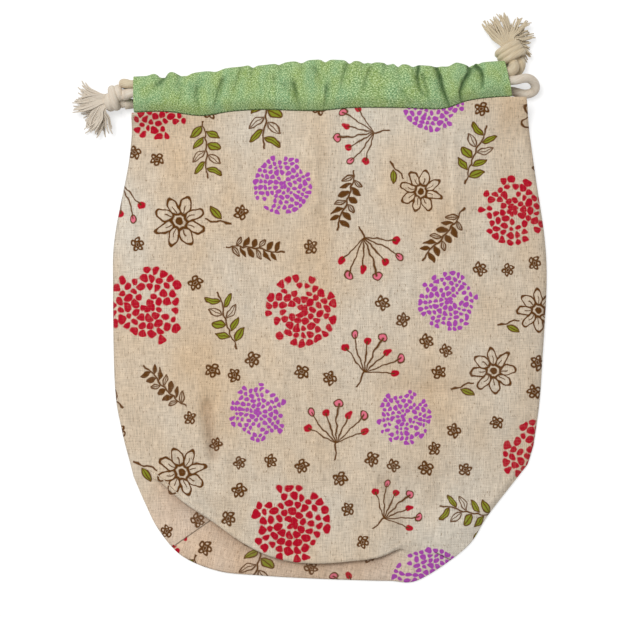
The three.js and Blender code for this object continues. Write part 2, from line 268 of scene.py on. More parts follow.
@dataclass(eq=False)
class BagShape:
    """Sizes and outlines of the sewn bag as it lies, which its panels and its casings share."""

    half_width: float = 0.1565
    body_length: float = 0.339
    seam_y: float = 0.1515
    casing_depth: float = 0.036
    back_z: float = 0.0005
    seam_z: float = 0.00185
    strip_z: float = 0.00425
    tuck_z: float = 0.00805
    fold_z: float = 0.01245
    front_casing_z: float = 0.0177
    back_casing_z: float = 0.0039
    crown: float = 0.0175
    crown_shares: Pair = (0.2, 0.6)
    side_roundness: float = 0.36
    side_slit: float = 0.030
    fold_radius: float = 0.0022
    fold_grows: Pair = (0.035, 0.175)
    fold_ends: Pair = (0.66, 0.78)
    tuck_radius: float = 0.0019
    tuck_depth: float = 0.016
    plain_edge: float = 0.008
    crease_scale: float = 1.9
    crease_fade: float = 0.12
    sharp_width: float = 0.0055
    pleat_roundness: float = 1.3
    pleat_fade: float = 0.5
    gather_share: float = 0.75
    gather_reach: float = 0.016
    gather_start: float = 0.012
    casing_ends: Pair = (0.0093, 0.9542)
    slack: tuple[Ripple, ...] = (Ripple(1.5 * MM, 19, 15, 0.4), Ripple(0.4 * MM, 58, 44, 2.7))
    # Outlines as shares of the half width, and of the body's length down or the casing's depth up.
    mouth_line: Line = (
        (-0.908, 0.006), (-0.752, 0.004), (-0.591, 0.013), (-0.453, 0.004), (-0.306, 0), (-0.154, 0.002),
        (-0.039, 0.002), (0.108, -0.004), (0.329, -0.004), (0.513, -0.002), (0.632, -0.019),
        (0.766, -0.027), (0.899, -0.028))
    fold_line: Line = (
        (-0.922, 0.747), (-0.802, 0.773), (-0.683, 0.826), (-0.549, 0.868), (-0.398, 0.917),
        (-0.246, 0.949), (-0.076, 0.96), (0.099, 0.955), (0.237, 0.945), (0.347, 0.915), (0.54, 0.888),
        (0.715, 0.839), (0.94, 0.711))
    base_line: Line = (
        (-0.903, 0.781), (-0.853, 0.834), (-0.789, 0.892), (-0.683, 0.947), (-0.517, 0.979),
        (-0.338, 0.988), (-0.131, 0.994), (0.09, 0.998), (0.274, 1), (0.411, 0.998), (0.63, 0.929),
        (0.735, 0.857), (0.913, 0.752))
    left_line: Line = (
        (-0.908, 0.006), (-0.926, 0.106), (-0.991, 0.265), (-1, 0.372), (-0.991, 0.584), (-0.959, 0.679),
        (-0.922, 0.747))
    right_line: Line = (
        (0.899, -0.028), (0.949, 0.138), (0.991, 0.27), (1, 0.372), (0.982, 0.52), (0.967, 0.62),
        (0.94, 0.711))
    rim_line: Line = (
        (-0.908, 0.67), (-0.761, 0.7), (-0.6, 0.76), (-0.453, 0.85), (-0.306, 0.9), (-0.154, 0.98),
        (-0.03, 1.01), (0.117, 0.985), (0.329, 0.92), (0.513, 0.88), (0.618, 0.92), (0.738, 0.97),
        (0.853, 1))
    # Both ends of a crease as shares, then its height and width in millimetres. Broad creases come first.
    front_creases: tuple[tuple[float, ...], ...] = (
        (-0.683, 0.616, -0.522, 0.807, 1.6, 15), (-0.522, 0.807, -0.3, 0.9, 1.4, 14),
        (-0.56, 0.63, -0.53, 0.7, -2.0, 9), (-0.338, 0.3, -0.338, 0.49, -1.5, 15),
        (-0.085, 0.05, -0.062, 0.17, 1.2, 12), (0.559, 0.06, 0.559, 0.32, 1.3, 12),
        (0.26, 0.588, 0.743, 0.588, -1.1, 13), (0.329, 0.79, 0.467, 0.85, -1.6, 15),
        (-0.564, 0.626, -0.531, 0.732, -1.9, 3.4), (-0.61, 0.648, -0.577, 0.75, 1.5, 5),
        (-0.504, 0.637, -0.476, 0.73, 1.4, 5), (0.53, 0.03, 0.536, 0.3, -1.2, 3),
        (0.56, 0.04, 0.556, 0.28, 1.0, 4.5), (-0.078, 0.03, -0.06, 0.2, 0.9, 4),
        (0.28, 0.585, 0.74, 0.6, -0.6, 3.5), (-0.95, 0.4, -0.93, 0.66, -1.3, 7),
        (0.347, 0.89, 0.25, 0.79, -1.1, 5), (0.45, 0.89, 0.53, 0.78, -0.9, 6),
        (-0.4, 0.2, -0.36, 0.34, -0.7, 6), (-0.2, 0.5, -0.28, 0.66, 0.7, 8),
        (0.02, 0.62, 0.1, 0.76, -0.7, 9), (0.16, 0.12, 0.2, 0.3, -0.7, 9),
        (0.74, 0.2, 0.82, 0.42, 0.8, 9), (-0.7, 0.12, -0.78, 0.3, 0.8, 9))
    # Height, width and lean of a fold, then its line from the rim down, in millimetres, from left to right.
    casing_folds: tuple[tuple[float, float, float, Line], ...] = (
        (-2.8, 2.0, 0.3, ((-118.4, 175), (-121, 170.5), (-125.3, 167.8))),
        (-1.4, 2.6, -0.3, ((-107.6, 177), (-107.1, 167), (-104.3, 161.3), (-106.9, 155.9))),
        (0.8, 4.0, 0, ((-100.4, 173), (-100.4, 156))),
        (-2.0, 2.2, -0.4, ((-94.7, 167), (-95.2, 159.5), (-91.8, 150))),
        (-1.0, 2.2, 0, ((-92.5, 173), (-89.6, 162))),
        (0.9, 4.0, 0, ((-86, 166), (-86, 154.4))),
        (-2.2, 2.2, 0.4, ((-77, 172.4), (-79.9, 163.8), (-81.7, 154))),
        (-1.5, 2.0, 0.3, ((-63.7, 181), (-65.2, 175.3), (-68.8, 164.5))),
        (-1.2, 1.8, 0, ((-55.1, 183), (-55.8, 174.6))),
        (-1.4, 1.8, 0, ((-40, 174), (-38.8, 169.6))),
        (-1.2, 2.0, -0.3, ((-35.6, 185), (-34.2, 176))),
        (-1.3, 1.8, 0, ((-32.8, 168.8), (-28.4, 163.8))),
        (-2.4, 2.0, -0.4, ((-25.3, 170), (-24.3, 165.2), (-22.9, 158.4), (-19.8, 149))),
        (-1.2, 1.8, 0, ((-20.5, 186), (-19.8, 178.2))),
        (-1.8, 2.2, -0.3, ((-10.4, 181), (-6.8, 171.7))),
        (-2.0, 2.0, 0.4, ((-2.2, 167.4), (-3.6, 155.2), (-5.4, 148))),
        (-1.9, 2.0, 0.3, ((12.9, 186), (10, 176.8), (8.3, 168.8))),
        (-1.0, 1.8, 0, ((23.4, 186), (22.7, 178.2))),
        (-1.7, 2.2, 0.4, ((29.3, 182), (26.4, 175.3), (24.1, 164.5))),
        (-1.4, 1.8, 0, ((39.2, 184), (38.5, 176))),
        (-1.2, 2.0, -0.3, ((48.6, 183), (50, 173.2))),
        (-1.4, 2.2, -0.3, ((51.5, 164.5), (58.7, 155.2), (61.6, 149))),
        (-3.2, 1.7, -0.5, ((64, 184), (62.6, 174.6), (64, 167), (67.3, 161.6))),
        (-2.0, 1.5, -0.4, ((66.6, 176), (69.8, 164.5), (72.4, 154))),
        (-3.9, 1.8, -0.5, ((75.7, 184), (79.1, 174.6), (81, 166), (85.3, 155.2), (87, 148))),
        (-1.2, 1.8, 0, ((87.8, 184), (87.3, 176.8))),
        (1.3, 4.0, 0, ((91.7, 185), (89.6, 176))),
        (-3.7, 1.8, 0.5, ((98.4, 185), (99, 178.2), (94.7, 171), (92.5, 163.8), (94, 155.9), (95, 148))),
        (-4.0, 1.8, -0.5, ((103.7, 184), (108.1, 179.6), (109.5, 174.6), (109.3, 167.4))),
        (0.8, 6.0, 0, ((114.8, 180.4), (116.3, 166))))
    # Middle, dip and width of a scallop of the rim, in millimetres.
    rim_scallops: tuple[Triple, ...] = (
        (-125.3, -1.3, 3.4), (-118.4, 4.0, 2.6), (-112, -1.9, 4), (-102.8, 2.3, 4.5), (-81, 1.5, 4),
        (-58.7, -0.6, 3), (-55.2, 1.5, 2.2), (-35.9, 1.5, 2.6), (-20.5, 1.9, 3), (-4.7, 1.9, 2.4),
        (12.6, 2.3, 2.4), (23.4, 1.6, 2.6), (28.6, 1.2, 2.2), (41.4, 1.8, 2.2), (48.6, 2.2, 2.2),
        (59.4, 1.6, 2.6), (76, 0.9, 3), (84, 0.5, 4), (91.7, -1.8, 4.5), (100.6, 0.8, 2.4),
        (103.6, 3.4, 2.3), (109.5, 0.9, 2))

    def __post_init__(self) -> None:
        """Draws the outlines from their shares of the half width and of the body's length."""
        self.mouth, self.fold, self.base, self.left, self.right = (
            Outline(tuple(self.place(*share) for share in line))
            for line in (self.mouth_line, self.fold_line, self.base_line, self.left_line, self.right_line))
        self.rim = Outline(tuple(
            (across * self.half_width, self.seam_y + up * self.casing_depth) for across, up in self.rim_line))

    def place(self, across: float, down: float) -> Pair:
        """A place in plan from its shares of the half width and of the body's length."""
        return across * self.half_width, self.seam_y - down * self.body_length

    @cached_property
    def creases(self) -> tuple[Crease, ...]:
        """The front's creases, the sharper ones of which show in raking light."""
        return tuple(
            Crease((self.place(x0, y0), self.place(x1, y1)), self.crease_scale * height * MM, width * MM)
            for x0, y0, x1, y1, height, width in self.front_creases)

    @cached_property
    def gathers(self) -> tuple[Crease, ...]:
        """The casing's folds: deep bent ones near both ends, short ones between."""
        return tuple(
            Crease(tuple((x * MM, y * MM) for x, y in line), height * MM, width * MM, lean,
                   roundness=Crease.roundness if height > 0 else self.pleat_roundness, fade=self.pleat_fade)
            for height, width, lean, line in self.casing_folds)

    @lru_cache(maxsize=None)
    def rim_dip(self, x: float) -> float:
        """How far the gathers pull the casing's rim down at a place across the bag."""
        return MM * sum(
            dip * math.exp(-(((x / MM - middle) / width) ** 2)) for middle, dip, width in self.rim_scallops)

    def fold_share(self, u: float) -> float:
        """Share of the full base fold at a place across the bag."""
        return smooth(u, *self.fold_grows) * (1 - smooth(u, *self.fold_ends))

    def crease_share(self, v: float) -> float:
        """How fully the front's creases show, from the seam down to the fold, where they run out."""
        return smooth(v, 0, self.crease_fade) * (1 - smooth(v, 1 - self.crease_fade, 1))

    @lru_cache(maxsize=None)
    def base_span(self, u: float) -> Triple:
        """The way from the fold edge out to the lower edge at a place across the bag, and its length."""
        return way(self.fold.at(u), self.base.at(u))

    @lru_cache(maxsize=None)
    def fold_start(self, u: float) -> Pair:
        """Where the front starts to turn over into the fold.

        Args:
            u: share across, from left to right.

        Returns:
            The place's x and y.
        """
        x, y = self.fold.at(u)
        out_x, out_y, _ = self.base_span(u)
        back = self.fold_radius * self.fold_share(u)
        return x - out_x * back, y - out_y * back

    def upper_plan(self, u: float, v: float) -> Pair:
        """Plan of the body between the mouth seam and the fold.

        Args:
            u: share across, from left to right.
            v: share down, from the seam to the fold.

        Returns:
            The place's x and y.
        """
        across = mix_places(self.left.at(v), self.right.at(v), u)
        down = mix_places(self.mouth.at(u), self.fold_start(u), v)
        upper = mix_places(self.mouth.at(0.0), self.mouth.at(1.0), u)
        lower = mix_places(self.fold.at(0.0), self.fold.at(1.0), u)
        corners = mix_places(upper, lower, v)
        return across[0] + down[0] - corners[0], across[1] + down[1] - corners[1]

    def side_height(self, casing_z: float, seam_z: float, v: float) -> float:
        """Height of a panel's side, which sinks from its casing to the side seam along the open slit."""
        return mix(casing_z, seam_z, smooth(v * self.body_length, 0, self.side_slit))

    def upper_height(self, u: float, v: float, relief: float) -> float:
        """Height of the front's middle surface.

        Args:
            u: share across, from left to right.
            v: share down, from the seam to the fold.
            relief: what creases and ripples add in the middle of the cloth.

        Returns:
            The height above the surface that the bag lies on.
        """
        risen, sinking = self.crown_shares
        side = self.side_height(self.front_casing_z, self.seam_z, v)
        edge = mix(self.plain_edge, self.fold_z, self.fold_share(u))
        crown = mix(self.front_casing_z, self.crown, smooth(v, 0, risen))
        middle = mix(crown, edge, smooth(v, sinking, 1)) + relief
        return mix(side, middle, (4 * u * (1 - u)) ** self.side_roundness)

    def painted_shade(self, x: float, y: float, v: float) -> float:
        """Depth in millimetres of the front's sharp creases, for the painted shade in them, a share v down it.
        """
        sharp = sum(crease.at(x, y) for crease in self.creases if crease.width < self.sharp_width)
        return max(-sharp * self.crease_share(v) / MM, 0.0)

    def relief(self, x: float, y: float, v: float) -> float:
        """What creases, slack in the cloth and the gathers above add to the front's height.

        Args:
            x, y: the place in plan.
            v: share down, from the seam to the fold.

        Returns:
            The added height.
        """
        added = sum(form.at(x, y) for form in (*self.creases, *self.slack)) * self.crease_share(v)
        gathered = math.exp(-v * self.body_length / self.gather_reach) * smooth(v, 0, self.gather_start)
        if gathered > NEGLIGIBLE:
            added += self.gather_share * gathered * sum(fold.at(x, y) for fold in self.gathers)
        return added


class MotifKind(IntEnum):
    """Shapes of the tossed floral print."""

    DAHLIA = 1
    POMPOM = 2
    DAISY = 3
    LAUREL = 4
    SPRAY = 5
    DITSY = 6
    FERN = 7


TINTS = 20


@dataclass(frozen=True)
class Motif:
    """One printed shape of the repeat: its kind, place, turn, reach, a random tint, and its size."""

    kind: MotifKind
    x: float
    y: float
    turn: float
    radius: float
    tint: float
    size: float


@dataclass
class PrintRepeat:
    """A square repeat of the print, tossed evenly from a fixed seed."""

    size: float = 0.345
    unit: float = 0.010
    seed: int = 41
    tries: int = 46
    motif_sizes: Pair = (0.88, 1.08)
    motifs: list[Motif] = field(default_factory=list)

    def lay_out(self) -> None:
        """Tosses the shapes, large ones first, each where it has the most room of many tries."""
        draw = random.Random(self.seed)
        wanted = (
            (MotifKind.DAHLIA, 6, 0.027), (MotifKind.POMPOM, 5, 0.0205), (MotifKind.DAISY, 6, 0.024),
            (MotifKind.SPRAY, 6, 0.020), (MotifKind.LAUREL, 6, 0.020), (MotifKind.FERN, 5, 0.018),
            (MotifKind.DITSY, 60, 0.0055))
        for kind, count, radius in wanted:
            for _ in range(count):
                spots = [(draw.uniform(0, self.size), draw.uniform(0, self.size)) for _ in range(self.tries)]
                x, y = max(spots, key=lambda spot: self.room(spot, radius))
                size = draw.uniform(*self.motif_sizes)
                tint = draw.randrange(TINTS) / TINTS
                self.motifs.append(Motif(kind, x, y, draw.uniform(0, TURN), radius * size, tint, size))

    def apart(self, first: float, second: float) -> float:
        """Signed distance from second to first along one side of the repeat, the short way round."""
        away = first - second
        return away - self.size * round(away / self.size)

    def gap(self, x: float, y: float, motif: Motif) -> float:
        """Distance from a place to the edge of a shape."""
        return math.hypot(self.apart(x, motif.x), self.apart(y, motif.y)) - motif.radius

    def room(self, spot: Pair, radius: float) -> float:
        """Clear room round a shape of a radius at a spot, up to the nearest shape already laid."""
        return min((self.gap(*spot, other) - radius for other in self.motifs), default=self.size)

    def owner(self, x: float, y: float) -> tuple[Motif, float, float]:
        """The shape that a place on the flat cloth belongs to.

        Args:
            x, y: the place on the flat cloth.

        Returns:
            The shape, and where its middle is near that place.
        """
        found = min(self.motifs, key=lambda motif: self.gap(x, y, motif))
        return found, x - self.apart(x, found.x), y - self.apart(y, found.y)


def math_step(operation: str) -> Callable[..., "Wire"]:
    """Makes a method of a wire for one step of arithmetic.

    Args:
        operation: the math node's operation.

    Returns:
        The method, which takes the values that come after the wire itself.
    """
    def method(wire: "Wire", *others: "Value") -> "Wire":
        """The step, with this wire first."""
        return wire.graph.math(operation, wire, *others)

    return method


class Wire:
    """A value in a graph of nodes, which takes arithmetic as a number does. A mask runs from 0 to 1.

    For masks, & is where both are and | is where either is.
    """

    __add__ = math_step("ADD")
    __sub__ = math_step("SUBTRACT")
    __mul__ = math_step("MULTIPLY")
    __truediv__ = math_step("DIVIDE")
    __mod__ = math_step("FLOORED_MODULO")
    __abs__ = math_step("ABSOLUTE")
    __floor__ = math_step("FLOOR")
    __round__ = math_step("ROUND")
    __gt__ = math_step("GREATER_THAN")
    __lt__ = math_step("LESS_THAN")
    __and__ = math_step("MULTIPLY")
    __or__ = math_step("MAXIMUM")
    at_least = math_step("MAXIMUM")
    at_most = math_step("MINIMUM")
    power = math_step("POWER")
    root = math_step("SQRT")
    sine = math_step("SINE")
    sign = math_step("SIGN")
    angle_over = math_step("ARCTAN2")
    fraction = math_step("FRACT")
    to_and_fro = math_step("PINGPONG")

    def __init__(self, graph: "Graph", socket: NodeSocket) -> None:
        """Takes the socket that gives the value."""
        self.graph = graph
        self.socket = socket

    def __rsub__(self, other: float) -> "Wire":
        """The difference from a number."""
        return self.graph.math("SUBTRACT", other, self)

    def cell(self) -> "Wire":
        """Place between two whole numbers, from the middle between them."""
        return self.fraction() - 0.5

    def clamped(self, scale: float) -> "Wire":
        """The value times a scale, kept between 0 and 1."""
        return self.graph.math("MULTIPLY", self, scale, clamped=True)

    def length(self, other: "Wire") -> "Wire":
        """Distance from the origin, with the other value as second coordinate."""
        return (self * self + other * other).root()

    def below(self, limit: "Value", soft: float) -> "Wire":
        """Mask of where it is below a limit, with a soft edge."""
        return self.graph.math("MULTIPLY_ADD", limit - self, 1 / soft, 0.5, clamped=True)

    def above(self, limit: float, soft: float) -> "Wire":
        """Mask of where it is above a limit, with a soft edge."""
        return self.graph.math("MULTIPLY_ADD", self - limit, 1 / soft, 0.5, clamped=True)

    def stroke(self, half: float, soft: float) -> "Wire":
        """Mask of a stroke of a half width where it is zero."""
        return abs(self).below(half, soft)

    def between(self, low: float, high: float, soft: float) -> "Wire":
        """Mask of where it is between two limits."""
        return (self - (low + high) / 2).stroke((high - low) / 2, soft)


Value = float | Wire


@dataclass(frozen=True)
class Grain:
    """Uneven streaks in cloth: how many to the metre both ways, and how many finer layers they have."""

    across: float
    along: float
    detail: float = 2.0


@dataclass(frozen=True)
class Flecks:
    """Yarns of another tone in a grain: the limit from which they show, its softness, and their cover."""

    limit: float
    soft: float
    cover: float = 1.0

    def low(self, grain: Wire) -> Wire:
        """Their share where the grain is low."""
        return grain.below(self.limit, self.soft) * self.cover

    def high(self, grain: Wire) -> Wire:
        """Their share where the grain is high."""
        return grain.above(self.limit, self.soft) * self.cover


@dataclass(frozen=True)
class Surface:
    """How a matt cloth takes light: its relief's depth and strength, its roughness, and its fuzz."""

    depth: float
    strength: float
    roughness: float
    sheen: float
    sheen_roughness: float = 0.45
    specular: float = 0.18


class Graph:
    """The nodes of a material or a world, added one at a time in the order in which they are worked out."""

    def __init__(self, owner: Material | World) -> None:
        """Starts the owner's nodes afresh.

        Args:
            owner: the material or the world.
        """
        owner.use_nodes = True
        self.owner = owner
        self.tree = owner.node_tree
        self.tree.nodes.clear()

    def node(self, kind: str, inputs: dict[str | int, object] | None = None,
             **settings: object) -> Node:
        """Adds a node.

        Args:
            kind: the node's Blender type.
            inputs: what its sockets take, by name or number: a wire, a socket or a plain value.
            **settings: the node's own options.

        Returns:
            The node.
        """
        made = self.tree.nodes.new(kind)
        for option, setting in settings.items():
            setattr(made, option, setting)
        for key, value in (inputs or {}).items():
            source = value.socket if isinstance(value, Wire) else value
            if isinstance(source, NodeSocket):
                self.tree.links.new(source, made.inputs[key])
            else:
                made.inputs[key].default_value = source
        return made

    def math(self, operation: str, *values: Value, clamped: bool = False) -> Wire:
        """One step of arithmetic."""
        made = self.node("ShaderNodeMath", dict(enumerate(values)), operation=operation, use_clamp=clamped)
        return Wire(self, made.outputs[0])

    def vector(self, *values: Value) -> NodeSocket:
        """Up to three values side by side."""
        return self.node("ShaderNodeCombineXYZ", dict(enumerate(values))).outputs[0]

    def split(self, vector: NodeSocket) -> tuple[Wire, Wire]:
        """The first two coordinates of a vector."""
        outputs = self.node("ShaderNodeSeparateXYZ", {0: vector}).outputs
        return Wire(self, outputs[0]), Wire(self, outputs[1])

    def uv(self, which: Map) -> tuple[Wire, Wire]:
        """Both coordinates of one of the piece's own maps."""
        return self.split(self.node("ShaderNodeUVMap", uv_map=which.value).outputs[0])

    def clouds(self, place: NodeSocket, scale: float, detail: float) -> Node:
        """Soft noise in two dimensions, as a value and as a colour."""
        return self.node(
            "ShaderNodeTexNoise", {"Vector": place, "Scale": scale, "Detail": detail}, noise_dimensions="2D")

    def grain(self, x: Wire, y: Wire, look: Grain) -> Wire:
        """Uneven streaks, round one half."""
        place = self.vector(x * look.across, y * look.along)
        return Wire(self, self.clouds(place, 1.0, look.detail).outputs[0])

    def weave(self, x: Wire, y: Wire, threads: float) -> Wire:
        """Relief of a plain weave with so many threads to the metre."""
        return (x * (TURN * threads)).sine() * (y * (TURN * threads)).sine()

    def chance(self, *values: Wire) -> Wire:
        """A random value from 0 to 1 that belongs to the given ones."""
        return Wire(self, self.node("ShaderNodeTexWhiteNoise", {0: self.vector(*values)}).outputs[0])

    def blend(self, share: Value, first: object, second: object, mode: str = "MIX") -> NodeSocket:
        """A colour between two colours."""
        inputs = {0: share, 6: first, 7: second}
        return self.node("ShaderNodeMix", inputs, data_type="RGBA", blend_type=mode).outputs[2]

    def finish(self, colour: NodeSocket, relief: Wire, surface: Surface) -> Material:
        """Ends the material in a matt cloth shader.

        Args:
            colour: base colour.
            relief: height of the threads.
            surface: how the cloth takes light.

        Returns:
            The finished material.
        """
        bump = self.node("ShaderNodeBump", {
            "Strength": surface.strength, "Distance": surface.depth, "Height": relief})
        shader = self.node("ShaderNodeBsdfPrincipled", {
            "Base Color": colour, "Roughness": surface.roughness, "Specular IOR Level": surface.specular,
            "Sheen Weight": surface.sheen, "Sheen Roughness": surface.sheen_roughness,
            "Normal": bump.outputs[0]})
        self.node("ShaderNodeOutputMaterial", {0: shader.outputs[0]})
        return self.owner


class Ink(Enum):
    """Inks of the print, in the order in which they are laid."""

    RED = dye(184, 2, 36)
    MAUVE = dye(172, 72, 174)
    OLIVE = dye(138, 144, 36)
    PINK = dye(232, 116, 138)
    BROWN = dye(96, 56, 8)


# How softly ink ends, in the print's unit: at a stroke's end, along it, round an area, and where it fades.
CUT = 0.05
STROKE = 0.06
AREA = 0.07
FADE = 0.1


@dataclass(frozen=True)
class Place:
    """Where a point of the cloth lies in its printed shape, in the print's unit, and the shape's tint."""

    x: Wire
    y: Wire
    tint: Wire

    @cached_property
    def radius(self) -> Wire:
        """Distance from the shape's middle."""
        return self.x.length(self.y)

    @cached_property
    def angle(self) -> Wire:
        """Direction from the shape's middle."""
        return self.y.angle_over(self.x)

    def moved(self, x: float, y: float) -> "Place":
        """The same point as it lies from another middle."""
        return Place(self.x - x, self.y - y, self.tint)

    def aside(self, petals: int) -> Wire:
        """Distance aside from the nearest of so many petals round the middle."""
        return (self.angle * (petals / TURN)).cell() * (TURN / petals) * self.radius


Masks = dict[Ink, Wire]


@dataclass(frozen=True)
class Rings:
    """Rings of uneven petals, more in each ring outwards, the last ring ragged."""

    ink: Ink
    pitch: float
    first: int
    more: int
    petal_half: Pair
    count: int
    ring_turn: float = 0.37
    flare: float = 0.35
    petal_sizes: Pair = (0.34, 0.80)
    petal_gaps: Pair = (0.38, 0.05)
    petal_soft: float = 0.28
    rim_soft: float = 0.02

    def draw(self, place: Place) -> Masks:
        """Draws the flower.

        Args:
            place: where a point lies in the shape.

        Returns:
            The mask of its ink.
        """
        half_wide, half_long = self.petal_half
        ring = math.floor(place.radius / self.pitch)
        number = ring * self.more + self.first
        turned = place.angle * (1 / TURN) * number + ring * self.ring_turn
        aside = turned.cell() * TURN * place.radius / number
        outward = place.radius - (ring * self.pitch + self.pitch / 2)
        width = (outward * (self.flare / half_long) + 1.0) * half_wide
        size = (aside / width).length(outward / half_long)
        chance = place.x.graph.chance(math.floor(turned) % number, ring, round(place.tint * TINTS))
        last = ring > self.count - 1.5
        kept = chance > last * self.petal_gaps[0] + self.petal_gaps[1]
        petals = size.below(chance * self.petal_sizes[0] + self.petal_sizes[1], self.petal_soft)
        return {self.ink: petals & kept & place.radius.below(self.pitch * self.count, self.rim_soft)}


@dataclass(frozen=True)
class Leaf:
    """A pointed leaf: the slope of its midrib in radians from x, half its length and half its width."""

    tilt: float
    half: float
    width: float
    rib_half: float = 0.034
    rib_share: float = 0.9
    rim_half: float = 0.05
    rim_share: float = 1.02

    def draw(self, place: Place) -> tuple[Wire, Wire]:
        """Draws the leaf.

        Args:
            place: where a point lies from the leaf's middle.

        Returns:
            Mask of the leaf, and of its outline with the midrib.
        """
        cos, sin = math.cos(self.tilt), math.sin(self.tilt)
        share = (place.x * cos + place.y * sin) / self.half
        across = abs(place.y * cos - place.x * sin)
        edge = across - (1.0 - share * share) * self.width
        rib = across.below(self.rib_half, CUT) & share.stroke(self.rib_share, FADE)
        rim = edge.stroke(self.rim_half, STROKE) & share.stroke(self.rim_share, CUT)
        return edge.below(0.0, AREA), rib | rim


@dataclass(frozen=True)
class Daisy:
    """An outlined daisy on a bent stem with one leaf."""

    petals: int = 8
    raised: float = 0.75
    petal_out: float = 1.08
    petal_half: Pair = (0.36, 0.62)
    petal_line: Pair = (0.17, 0.12)
    vein_half: float = 0.042
    vein_span: Pair = (0.55, 1.1)
    eye: float = 0.24
    stem_root: float = 3.0
    stem_bend: float = 0.07
    stem_aside: float = 0.24
    stem_half: float = 0.07
    stem_span: Pair = (-2.75, -0.9)
    leaf: Leaf = Leaf(tilt=0.72, half=0.6, width=0.22)
    leaf_place: Pair = (0.42, -1.75)

    def draw(self, place: Place) -> Masks:
        """Draws the daisy.

        Args:
            place: where a point lies in the shape.

        Returns:
            A mask for each ink.
        """
        flower = place.moved(0.0, self.raised)
        aside = flower.aside(self.petals)
        size = (aside / self.petal_half[0]).length((flower.radius - self.petal_out) / self.petal_half[1])
        petals = (size - 1.0).stroke(*self.petal_line)
        veins = aside.stroke(self.vein_half, CUT) & flower.radius.between(*self.vein_span, STROKE)
        eye = flower.radius.below(self.eye, AREA)
        away = place.y + self.stem_root
        bent = place.x - (away * away * self.stem_bend - self.stem_aside)
        stem = bent.stroke(self.stem_half, STROKE) & place.y.between(*self.stem_span, CUT)
        fill, edge = self.leaf.draw(place.moved(*self.leaf_place))
        return {Ink.BROWN: petals | veins | eye | stem | edge, Ink.OLIVE: fill}


@dataclass(frozen=True)
class Sprig:
    """A bent stem with leaves on both sides in turn, each third pair of them left open."""

    ink: Ink
    pitch: float
    leaf: Leaf
    reach: float
    sway: float = 0.22
    sway_pitch: float = 0.8
    stagger: float = 0.25
    leaf_out: float = 0.93
    open_each: int = 3
    stem_half: float = 0.06
    stem_past: Pair = (0.55, 0.1)

    def draw(self, place: Place) -> Masks:
        """Draws the sprig.

        Args:
            place: where a point lies in the shape.

        Returns:
            A mask for each ink.
        """
        aside = place.x - (place.y * self.sway_pitch).sine() * self.sway
        across = abs(aside)
        along = place.y * (1 / self.pitch) + aside.sign() * self.stagger
        number = math.floor(along)
        fill, edge = self.leaf.draw(
            Place(across - self.leaf.half * self.leaf_out, along.cell() * self.pitch, place.tint))
        kept = (number + 0.5).stroke(math.floor(self.reach / self.pitch), FADE)
        foot, tip = self.stem_past
        stem = across.below(self.stem_half, STROKE)
        stem &= place.y.between(-self.reach - foot, self.reach + tip, CUT)
        fill = fill & kept & (1.0 - (number % self.open_each < 0.5))
        drawn = edge & kept | stem
        return {Ink.BROWN: drawn | fill} if self.ink is Ink.BROWN else {self.ink: fill, Ink.BROWN: drawn}


@dataclass(frozen=True)
class Spray:
    """A fan of fine stalks, long and short in turn, each with a berry on its tip."""

    root: float = 1.3
    stalk_turn: float = 0.37
    stalks_aside: float = 3.0
    stalk_half: float = 0.055
    reach: float = 2.75
    shorter: float = 0.62
    berry: float = 0.25
    rim_half: float = 0.05
    stem_half: float = 0.065
    stem_span: Pair = (-1.15, 0.05)
    odd_soft: float = 0.2

    def draw(self, place: Place) -> Masks:
        """Draws the spray.

        Args:
            place: where a point lies in the shape.

        Returns:
            A mask for each ink.
        """
        raised = place.y + self.root
        radius = place.x.length(raised)
        turned = place.x.angle_over(raised) / self.stalk_turn
        stalk = round(turned.at_least(-self.stalks_aside).at_most(self.stalks_aside))
        aside = (turned - stalk) * self.stalk_turn * radius
        odd = stalk.to_and_fro(1.0)
        reach = self.reach - odd * self.shorter
        stalks = aside.stroke(self.stalk_half, STROKE) & radius.below(reach, CUT)
        berry = aside.length(radius - reach)
        berries = berry.below(self.berry, AREA)
        rims = (berry - self.berry).stroke(self.rim_half, STROKE)
        stem = place.x.stroke(self.stem_half, STROKE) & raised.between(*self.stem_span, CUT)
        long = odd.below(0.5, self.odd_soft)
        return {Ink.BROWN: stalks | stem | rims & long, Ink.PINK: berries & long,
                Ink.RED: berries & odd.above(0.5, self.odd_soft)}


@dataclass(frozen=True)
class Ditsy:
    """A tiny flower of looped petals."""

    petals: int = 5
    petal_out: float = 0.34
    loop: float = 0.15
    loop_half: float = 0.075
    eye: float = 0.12

    def draw(self, place: Place) -> Masks:
        """Draws the flower.

        Args:
            place: where a point lies in the shape.

        Returns:
            The mask of its ink.
        """
        loops = place.aside(self.petals).length(place.radius - self.petal_out) - self.loop
        petals = loops.stroke(self.loop_half, STROKE)
        return {Ink.BROWN: petals | place.radius.below(self.eye, AREA)}


DRAWINGS: dict[MotifKind, Rings | Daisy | Sprig | Spray | Ditsy] = {
    MotifKind.DAHLIA: Rings(Ink.RED, pitch=0.54, first=5, more=5, petal_half=(0.262, 0.275), count=5),
    MotifKind.POMPOM: Rings(Ink.MAUVE, pitch=0.36, first=4, more=5, petal_half=(0.165, 0.178), count=6),
    MotifKind.DAISY: Daisy(),
    MotifKind.LAUREL: Sprig(Ink.OLIVE, pitch=0.95, leaf=Leaf(0.62, 0.64, 0.25), reach=2.0),
    MotifKind.SPRAY: Spray(),
    MotifKind.DITSY: Ditsy(),
    MotifKind.FERN: Sprig(Ink.BROWN, pitch=0.56, leaf=Leaf(0.62, 0.40, 0.14), reach=1.9),
}


